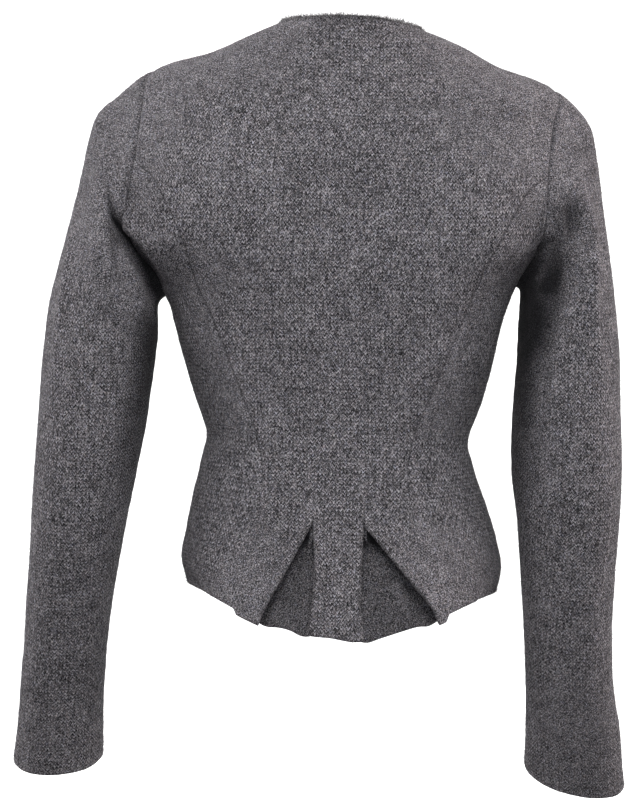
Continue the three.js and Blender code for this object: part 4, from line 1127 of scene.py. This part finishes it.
def wool(name, painted_dimming=1.0, tint=(1.0, 0.985, 1.03)):
    """Heathered boiled wool: felted knit, with light and dark fibres."""
    mat, nt, bsdf = new_material(name)
    N = Nodes(nt)
    tex = nt.nodes.new("ShaderNodeTexCoord")
    obj_co = tex.outputs["Object"]
    uvn = nt.nodes.new("ShaderNodeUVMap")
    uvn.uv_map = "cloth"
    u, v, _ = N.separate(uvn.outputs[0])
    # the felting has blurred and shifted the stitches
    wob = N.noise(obj_co, 160, 2.0, 0.5, out="Color")
    wx, wy, _ = N.separate(wob)
    u2 = N.math("ADD", u, N.math("MULTIPLY", N.math("SUBTRACT", wx, 0.5), 0.0026))
    v2 = N.math("ADD", v, N.math("MULTIPLY", N.math("SUBTRACT", wy, 0.5), 0.0026))
    cu = N.math("DIVIDE", u2, WALE)
    tri = N.math("MULTIPLY", N.math("PINGPONG", cu, 0.5), 2.0)            # 0 at a column's side, 1 at its middle
    slant = N.math("ADD", N.math("DIVIDE", v2, COURSE), N.math("MULTIPLY", tri, 0.75))
    row = N.math("ADD", N.math("MULTIPLY", N.math("SINE", N.math("MULTIPLY", slant, 2 * math.pi)), 0.5), 0.5)
    colm = N.math("POWER", tri, 0.6)
    stitch = N.math("MULTIPLY", row, N.math("ADD", N.math("MULTIPLY", colm, 0.7), 0.3))
    # fibres lie along the stitches' legs: noise drawn out along the slant
    leg = N.combine(N.math("MULTIPLY", slant, 2.6), N.math("MULTIPLY", cu, 1.1), N.math("MULTIPLY", v2, 60.0))
    speck = N.noise(obj_co, 1280, 2.0, 0.7)
    # (they lose their direction where the cloth is folded in, and where it is eased round a bend)
    eased = N.attribute("eased")
    deep = N.math("MAXIMUM", N.scale_range(N.attribute("hollow_mm"), 2.0, 7.0, 0.0, 1.0), eased)
    legs = N.noise(leg, 1.0, 2.0, 0.6)
    felt = N.noise(N.vec("ADD", obj_co, (3.1, 1.7, 5.3)), 900, 2.0, 0.6)
    legs = N.math("ADD", N.math("MULTIPLY", legs, N.math("SUBTRACT", 1.0, deep)), N.math("MULTIPLY", felt, deep))
    stitch = N.math("ADD", N.math("MULTIPLY", stitch, N.math("SUBTRACT", 1.0, eased)), N.math("MULTIPLY", eased, 0.42))
    fleck = N.noise(obj_co, 2300, 1.0, 0.5)
    grain = N.math("ADD", N.math("MULTIPLY", speck, 0.44),
                   N.math("ADD", N.math("MULTIPLY", fleck, 0.20), N.math("MULTIPLY", legs, 0.36)))
    grain = N.math("ADD", grain, N.math("MULTIPLY", N.math("SUBTRACT", stitch, 0.42), 0.085))
    cloud = N.noise(obj_co, 85, 3.0, 0.55)
    patch = N.noise(obj_co, 16, 2.0, 0.5)
    grain = N.math("ADD", grain, N.math("MULTIPLY", N.math("SUBTRACT", cloud, 0.5), 0.07))
    grain = N.math("ADD", grain, N.math("MULTIPLY", N.math("SUBTRACT", patch, 0.5), 0.025))
    # painted_dimming darkens every colour of the ramp: painted shade, used for the pleats
    k = painted_dimming
    col = N.ramp(grain, [
        (0.400, (0.006 * k, 0.006 * k, 0.0065 * k)),
        (0.457, (0.031 * k, 0.0303 * k, 0.0325 * k)),
        (0.500, (0.100 * k, 0.098 * k, 0.103 * k)),
        (0.543, (0.210 * k, 0.205 * k, 0.213 * k)),
        (0.604, (0.480 * k, 0.467 * k, 0.477 * k))])
    # single fibres of another shade: a few bluish, a few brown
    hue = N.noise(obj_co, 420, 2.0, 0.6)
    col = N.mix(N.scale_range(hue, 0.55, 0.72, 0.0, 0.45), col,
                N.mix(1.0, col, (0.86, 0.95, 1.22), "MULTIPLY"))
    col = N.mix(N.scale_range(hue, 0.45, 0.28, 0.0, 0.45), col,
                N.mix(1.0, col, (1.16, 1.0, 0.88), "MULTIPLY"))
    col = N.mix(1.0, col, tint, "MULTIPLY")
    # felted edges are a little denser and darker
    rim = N.attribute("rim_mm")
    col = N.mix(N.scale_range(rim, 0.2, 2.4, 0.30, 0.0), col, (0.03, 0.029, 0.031))
    # darker along the seams: partly the pulled stitches, partly painted shade in the seam's groove
    col = N.mix(N.scale_range(N.attribute("seam_mm"), 0.25, 1.2, 0.36, 0.0), col, (0.012, 0.012, 0.013))
    # painted shade: the colour goes nearly black down in the folds, by the painted-shade amount
    shade_paint_mix = N.scale_range(N.attribute("hollow_mm"), 1.5, 20.0, 0.0, 0.94)
    col = N.mix(shade_paint_mix, col, (0.006, 0.006, 0.0072))
    nt.links.new(col, bsdf.inputs["Base Color"])
    rough = N.scale_range(speck, 0.3, 0.7, 0.98, 0.86)
    nt.links.new(rough, bsdf.inputs["Roughness"])
    bsdf.inputs["Specular IOR Level"].default_value = 0.06
    bsdf.inputs["Sheen Weight"].default_value = 0.03
    bsdf.inputs["Sheen Roughness"].default_value = 0.45
    bsdf.inputs["Sheen Tint"].default_value = (0.80, 0.78, 0.80, 1.0)
    height = N.math("ADD", N.math("MULTIPLY", stitch, 0.40), N.math("ADD", N.math("MULTIPLY", speck, 0.9),
                                                                  N.math("MULTIPLY", legs, 0.5)))
    b = N.bump(height, 0.75, 0.0009)
    b = N.bump(N.noise(obj_co, 230, 3.0, 0.6), 0.45, 0.0011, b)
    nt.links.new(b, bsdf.inputs["Normal"])
    return mat


WOOL = wool("boiled_wool")
# the pleats get a darker copy of the wool: painted shade for their depth under the flaps
SHADED_PLEAT_WOOL = wool("pleat_wool", 0.62)
for name, p in PIECES.items():
    p["obj"].data.materials.append(SHADED_PLEAT_WOOL if name.startswith("pleat") else WOOL)

# ------------------------------------------------------------------ buttons
def level_at_front_z(z):
    lo, hi = 0.0, float(NECK)
    for _ in range(40):
        mid = (lo + hi) / 2
        if at(BODY, mid)[3] < z:
            lo = mid
        else:
            hi = mid
    return (lo + hi) / 2


def lathe(profile, n=48):
    """A closed solid of revolution about Z; the profile runs from axis to axis."""
    verts, faces = [], []
    prof = profile[1:-1]
    verts.append((0, 0, profile[0][1]))
    for r, z in prof:
        for j in range(n):
            a = 2 * math.pi * j / n
            verts.append((r * math.cos(a), r * math.sin(a), z))
    verts.append((0, 0, profile[-1][1]))
    for j in range(n):
        faces.append((0, 1 + (j + 1) % n, 1 + j))
    for i in range(len(prof) - 1):
        for j in range(n):
            a, b = 1 + i * n + j, 1 + i * n + (j + 1) % n
            faces.append((a, b, b + n, a + n))
    last = 1 + (len(prof) - 1) * n
    for j in range(n):
        faces.append((last + j, last + (j + 1) % n, len(verts) - 1))
    return verts, faces


def mesh_object(name, verts, faces, smooth_faces=True):
    mesh = bpy.data.meshes.new(name)
    mesh.from_pydata([tuple(v) for v in verts], [], [tuple(f) for f in faces])
    mesh.polygons.foreach_set("use_smooth", np.full(len(faces), smooth_faces))
    mesh.update()
    obj = bpy.data.objects.new(name, mesh)
    bpy.context.scene.collection.objects.link(obj)
    return obj


def button_material():
    mat, nt, bsdf = new_material("button")
    N = Nodes(nt)
    co = nt.nodes.new("ShaderNodeTexCoord").outputs["Object"]
    x, y, z = N.separate(co)
    streak = N.noise(N.combine(N.math("MULTIPLY", x, 0.55), y, N.math("MULTIPLY", z, 2.2)), 190, 4.0, 0.62, 1.2)
    spot = N.noise(co, 900, 2.0, 0.5)
    col = N.ramp(streak, [(0.30, (0.016, 0.012, 0.010)), (0.48, (0.045, 0.034, 0.027)),
                          (0.60, (0.10, 0.078, 0.060)), (0.74, (0.22, 0.18, 0.14))])
    col = N.mix(N.scale_range(spot, 0.6, 0.75, 0.0, 0.35), col, (0.02, 0.016, 0.013))
    nt.links.new(col, bsdf.inputs["Base Color"])
    nt.links.new(N.scale_range(streak, 0.3, 0.7, 0.30, 0.46), bsdf.inputs["Roughness"])
    bsdf.inputs["Specular IOR Level"].default_value = 0.5
    nt.links.new(N.bump(N.math("ADD", streak, N.math("MULTIPLY", spot, 0.3)), 0.25, 0.00025), bsdf.inputs["Normal"])
    return mat


def thread_material():
    mat, nt, bsdf = new_material("thread")
    N = Nodes(nt)
    co = nt.nodes.new("ShaderNodeTexCoord").outputs["Object"]
    ply = N.noise(co, 2600, 2.0, 0.5)
    col = N.ramp(ply, [(0.35, (0.020, 0.020, 0.022)), (0.65, (0.075, 0.073, 0.078))])
    nt.links.new(col, bsdf.inputs["Base Color"])
    bsdf.inputs["Roughness"].default_value = 0.75
    bsdf.inputs["Sheen Weight"].default_value = 0.2
    nt.links.new(N.bump(ply, 0.6, 0.0002), bsdf.inputs["Normal"])
    return mat


BUTTON_MAT, THREAD_MAT = button_material(), thread_material()


def tube_mesh(path, radius, n=8, caps=True):
    """A closed tube along points, as vertices and faces."""
    P = np.asarray(path, float)
    T = unit(np.gradient(P, axis=0))
    up = np.array([0.0, 0.0, 1.0])
    verts, faces = [], []
    ref = np.cross(T[0], up)
    if np.linalg.norm(ref) < 0.1:
        ref = np.cross(T[0], [1.0, 0.0, 0.0])
    ref = unit(ref)
    for i in range(len(P)):
        ref = unit(ref - T[i] * (ref @ T[i]))
        other = np.cross(T[i], ref)
        r = radius if np.isscalar(radius) else radius[i]
        for j in range(n):
            a = 2 * math.pi * j / n
            verts.append(P[i] + (ref * math.cos(a) + other * math.sin(a)) * r)
    for i in range(len(P) - 1):
        for j in range(n):
            a, b = i * n + j, i * n + (j + 1) % n
            faces.append((a, b, b + n, a + n))
    if caps:
        faces.append(tuple(reversed(range(n))))
        faces.append(tuple(range((len(P) - 1) * n, len(P) * n)))
    return verts, faces


def join_parts(parts):
    verts, faces = [], []
    for v, f in parts:
        k = len(verts)
        verts.extend(v)
        faces.extend([tuple(i + k for i in face) for face in f])
    return verts, faces


def button(i, z):
    r = level_at_front_z(z)
    p, n = body_point(r, math.pi), body_normal(r, math.pi)
    frame_z = Vector(n)
    frame_x = Vector((0, 0, 1)).cross(frame_z).normalized()
    frame_y = frame_z.cross(frame_x)
    place = Matrix.Translation(Vector(p + n * BUTTON_GAP)) @ Matrix((frame_x, frame_y, frame_z)).transposed().to_4x4()
    place = Matrix.Scale(MM, 4) @ place @ Matrix.Rotation(math.radians(7 * ((i * 37) % 11 - 5)), 4, "Z")
    R, T = BUTTON_R, BUTTON_T
    profile = [(0, 0.0), (R - 3.4, 0.0), (R - 1.5, 0.22), (R - 0.45, 0.75), (R - 0.05, 1.35), (R, 1.7), (R - 0.1, 2.15),
               (R - 0.45, 2.75), (R - 0.95, 3.12), (R - 1.4, T), (R - 1.9, 3.1), (R - 2.35, 2.82), (R - 2.7, 2.58),
               (R - 3.2, 2.42), (R - 4.2, 2.36), (R - 6.0, 2.38), (R - 8.0, 2.4), (0, 2.4)]
    verts, faces = lathe(profile, 56)
    base = mesh_object(f"button_{i}_disc", verts, faces)
    # four sewing holes
    cut_parts = []
    for sx in (-1, 1):
        for sy in (-1, 1):
            v, f = lathe([(0, -1), (1.0, -1), (0.95, 1.9), (1.05, 2.2), (1.35, 2.5), (1.5, 4.5), (0, 4.5)], 20)
            cut_parts.append(([(x + sx * 1.75, y + sy * 1.75, zz) for x, y, zz in v], f))
    cutter = mesh_object(f"cut_{i}", *join_parts(cut_parts))
    mod = base.modifiers.new("holes", "BOOLEAN")
    mod.operation, mod.object, mod.solver = "DIFFERENCE", cutter, "EXACT"
    dg = bpy.context.evaluated_depsgraph_get()
    made = bpy.data.meshes.new_from_object(base.evaluated_get(dg))
    base.modifiers.clear()
    old = base.data
    base.data = made
    bpy.data.meshes.remove(old)
    bpy.data.objects.remove(cutter)
    made.transform(place)
    made.polygons.foreach_set("use_smooth", np.ones(len(made.polygons), bool))
    made.materials.clear()
    made.materials.append(BUTTON_MAT)
    try:
        made.set_sharp_from_angle(angle=math.radians(38))
    except AttributeError:
        pass
    made.update()
    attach(base, "root")
    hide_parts(f"button_{i}")
    # thread: two parallel bars over the top, and a wound shank below
    parts = []
    for sx in (-1, 1):
        for off in (-0.42, 0.0, 0.42):
            ys = np.linspace(-1.95, 1.95, 15)
            arch = 2.42 + 0.38 * np.sqrt(np.clip(1 - (ys / 2.0) ** 2, 0, 1)) + 0.05 * abs(off)
            path = np.stack([np.full(15, sx * 1.75 + off), ys, arch], -1)
            ends = [np.array([[sx * 1.75 + off * 0.8, -1.9, zz]]) for zz in (0.6, 1.5, 2.2)]
            ends2 = [np.array([[sx * 1.75 + off * 0.8, 1.9, zz]]) for zz in (2.2, 1.5, 0.6)]
            parts.append(tube_mesh(np.concatenate(ends + [path] + ends2), 0.24, 7))
    tt = np.linspace(0, 5 * 2 * math.pi, 130)
    parts.append(tube_mesh(np.stack([1.35 * np.cos(tt), 1.35 * np.sin(tt), -0.88 + 0.85 * tt / tt[-1]], -1), 0.26, 7))
    thread = mesh_object(f"button_{i}_thread", *join_parts(parts))
    thread.data.transform(place)
    thread.data.materials.append(THREAD_MAT)
    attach(thread, "root")


for i, z in enumerate(BUTTON_Z):
    button(i + 1, z)

# ------------------------------------------------------------------ stray fibres
def fibres(name, piece, per_cm2, long, seed, edge_more=0.0, mat=None):
    """Short hairs that stand off the felt: thin closed spikes, joined into one mesh."""
    rng = np.random.default_rng(seed)
    p = PIECES[piece]
    cells, area = p["cells"], p["area"]
    w = p["lie"] * (1.0 + edge_more * np.exp(-p["d_free"][cells].min(1) / 2.0))
    collar = np.exp(-p["d_free"][cells].min(1) / 1.6) * (p["outer"][cells[:, 0], 2] > -60)
    w = w * np.where(collar > 0.05, 1 + 8 * collar, p["hollow"][cells].max(1) < 3.0)
    n = int(area.sum() / 100.0 * per_cm2)
    pick = rng.choice(len(cells), n, p=w / w.sum())
    a, b = rng.random((2, n, 1))
    q = p["outer"][cells[pick]]
    root = (q[:, 0] * (1 - a) + q[:, 1] * a) * (1 - b) + (q[:, 3] * (1 - a) + q[:, 2] * a) * b
    nn = p["normal"][cells[pick]].mean(1)
    # the hairs rise from the cloth along its normal
    nn = unit(nn)
    rnd = rng.normal(size=(n, 3))
    side = unit(rnd - (rnd * nn).sum(-1, keepdims=True) * nn)
    rise = rng.uniform(0.25, 0.95, (n, 1))
    d = unit(nn * rise + side * (1.05 - rise * 0.6))
    length = long * (0.35 + rng.gamma(2.0, 0.33, (n, 1)))
    length = np.minimum(length, long * 2.4)
    # the raw neckline is the hairiest place
    neck = collar[pick][:, None]
    length = length * (1 + 1.2 * neck)
    d = unit(d + np.array([0.0, 0.0, 0.9]) * neck * rng.uniform(0.2, 1.2, (n, 1)))
    thick = rng.uniform(0.08, 0.15, (n, 1)) * (1 + 1.1 * neck)
    bend = unit(np.cross(d, rnd))
    tip = root + d * length + bend * length * rng.uniform(-0.25, 0.25, (n, 1))
    root = root - nn * 0.15
    s1 = unit(np.cross(d, bend))
    s2 = np.cross(d, s1)
    v = np.empty((n, 4, 3))
    for k in range(3):
        ang = 2 * math.pi * k / 3
        v[:, k] = root + (s1 * math.cos(ang) + s2 * math.sin(ang)) * thick
    v[:, 3] = tip
    base = (np.arange(n) * 4)[:, None]
    f = np.concatenate([base + np.array([[0, 2, 1]]), base + np.array([[0, 1, 3]]), base + np.array([[1, 2, 3]]),
                        base + np.array([[2, 0, 3]])])
    mesh = bpy.data.meshes.new(name)
    mesh.from_pydata((v.reshape(-1, 3) * MM).tolist(), [], f.tolist())
    mesh.update()
    mesh.materials.append(mat)
    obj = bpy.data.objects.new(name, mesh)
    bpy.context.scene.collection.objects.link(obj)
    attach(obj, "root")
    p["fuzz"] = obj
    return obj


def fibre_material():
    mat, nt, bsdf = new_material("fibre")
    N = Nodes(nt)
    co = nt.nodes.new("ShaderNodeTexCoord").outputs["Object"]
    tone = N.noise(co, 700, 1.0, 0.5)
    col = N.ramp(tone, [(0.36, (0.030, 0.029, 0.032)), (0.5, (0.13, 0.126, 0.132)), (0.66, (0.36, 0.345, 0.35))])
    nt.links.new(col, bsdf.inputs["Base Color"])
    bsdf.inputs["Roughness"].default_value = 0.8
    bsdf.inputs["Specular IOR Level"].default_value = 0.2
    return mat


FIBRE = fibre_material()
for i, name in enumerate(list(PIECES)):
    fibres(name + "_fibres", name, 10.0, 1.9, 100 + i, edge_more=9.0, mat=FIBRE)

# ------------------------------------------------------------------ flat sizes of the cuts
# flat: width and length of the cut, metres; area: of the cut, square metres
FLATS = {
    "back_center": ((0.372, 0.545), 0.125),
    "side_back_left": ((0.098, 0.405), 0.0325),
    "side_back_right": ((0.098, 0.405), 0.0325),
    "front_left": ((0.240, 0.500), 0.097),
    "front_right": ((0.240, 0.500), 0.097),
    "sleeve_left": ((0.330, 0.620), 0.160),
    "sleeve_right": ((0.330, 0.620), 0.160),
    "pleat_left": ((0.104, 0.085), 0.0060),
    "pleat_right": ((0.125, 0.085), 0.0071),
}
for name, ((w, l), area) in FLATS.items():
    p = PIECES[name]

# ------------------------------------------------------------------ stage and light
def stage_bowl():
    """A round pale studio: a floor that runs up into a wall."""
    n, prof = 96, []
    for r in np.linspace(0.0, 3.4, 10):
        prof.append((r, -0.95))
    for t in np.linspace(0, 1, 14)[1:]:
        a = t * math.pi / 2
        prof.append((3.4 + 2.0 * math.sin(a), -0.95 + 2.0 * (1 - math.cos(a))))
    prof.append((5.4, 3.4))
    verts = [(0, 0, -0.95)]
    for r, z in prof[1:]:
        verts += [(r * math.cos(2 * math.pi * j / n), r * math.sin(2 * math.pi * j / n), z) for j in range(n)]
    faces = [(0, 1 + j, 1 + (j + 1) % n) for j in range(n)]
    for i in range(len(prof) - 2):
        for j in range(n):
            a, b = 1 + i * n + j, 1 + i * n + (j + 1) % n
            faces.append((a, a + n, b + n, b))
    bowl = mesh_object("studio", verts, faces)
    mat, nt, bsdf = new_material("studio")
    N = Nodes(nt)
    co = nt.nodes.new("ShaderNodeTexCoord").outputs["Object"]
    x, y, z = N.separate(co)
    rad = N.math("SQRT", N.math("ADD", N.math("MULTIPLY", x, x), N.math("MULTIPLY", y, y)))
    # palest at the end that stands behind the garment's front; darker towards the camera and close round the garment:
    # painted shade on the floor there, which also throws less light back onto the garment
    back = N.scale_range(y, -1.0, 2.2, 0.34, 0.93)
    near = N.scale_range(rad, 0.3, 2.2, 0.62, 1.0)
    tone = N.math("MULTIPLY", back, near)
    col = N.combine(tone, tone, tone)
    nt.links.new(col, bsdf.inputs["Base Color"])
    bsdf.inputs["Roughness"].default_value = 0.9
    bowl.data.materials.append(mat)
    return bowl


stage_bowl()


def area_light(name, at_m, aim, size, power, colour, spread=180):
    data = bpy.data.lights.new(name, "AREA")
    data.shape, data.size, data.size_y = "RECTANGLE", size[0], size[1]
    data.energy, data.color, data.spread = power, colour, math.radians(spread)
    obj = bpy.data.objects.new(name, data)
    bpy.context.scene.collection.objects.link(obj)
    obj.location = at_m
    obj.rotation_euler = (Vector(aim) - Vector(at_m)).to_track_quat("-Z", "Y").to_euler()
    obj.visible_camera = False
    return obj


area_light("key", (0.10, -2.25, 1.45), (0, 0, -0.24), (1.4, 0.9), 17.4, (1.0, 0.985, 0.965), 100)
area_light("pool", (0.0, -2.6, -0.05), (0, 0, -0.28), (0.5, 0.5), 0.72, (0.97, 0.985, 1.0), 26)
area_light("left_box", (-1.8, 0.30, 0.75), (-0.2, 0, -0.25), (0.7, 1.3), 10.6, (1.0, 0.975, 0.96), 90)
area_light("right_box", (1.8, 0.30, 0.75), (0.2, 0, -0.25), (0.7, 1.3), 12.0, (1.0, 0.91, 0.87), 90)
spot = bpy.data.lights.new("wall", "SPOT")
spot.energy, spot.spot_size, spot.spot_blend, spot.shadow_soft_size = 1000, math.radians(112), 0.35, 0.3
spot_obj = bpy.data.objects.new("wall", spot)
bpy.context.scene.collection.objects.link(spot_obj)
spot_obj.location = (0.0, 1.4, 2.4)
spot_obj.rotation_euler = (Vector((0.0, 3.6, -0.95)) - Vector((0.0, 1.4, 2.4))).to_track_quat("-Z", "Y").to_euler()
spot_obj.visible_camera = False

world = bpy.data.worlds.new("studio_sky")
bpy.context.scene.world = world
world.use_nodes = True
world.node_tree.nodes["Background"].inputs[0].default_value = (0.96, 0.98, 1.0, 1.0)
world.node_tree.nodes["Background"].inputs[1].default_value = 0.08
bpy.context.scene.view_settings.view_transform = "Standard"
bpy.context.scene.view_settings.look = "None"

# ------------------------------------------------------------------ sizes, and the end
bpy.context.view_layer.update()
for name, p in PIECES.items():
    print("PIECE", name, "tris", p["tris"], "outer area m2", round(p["area"].sum() * 1e-6, 4), flush=True)
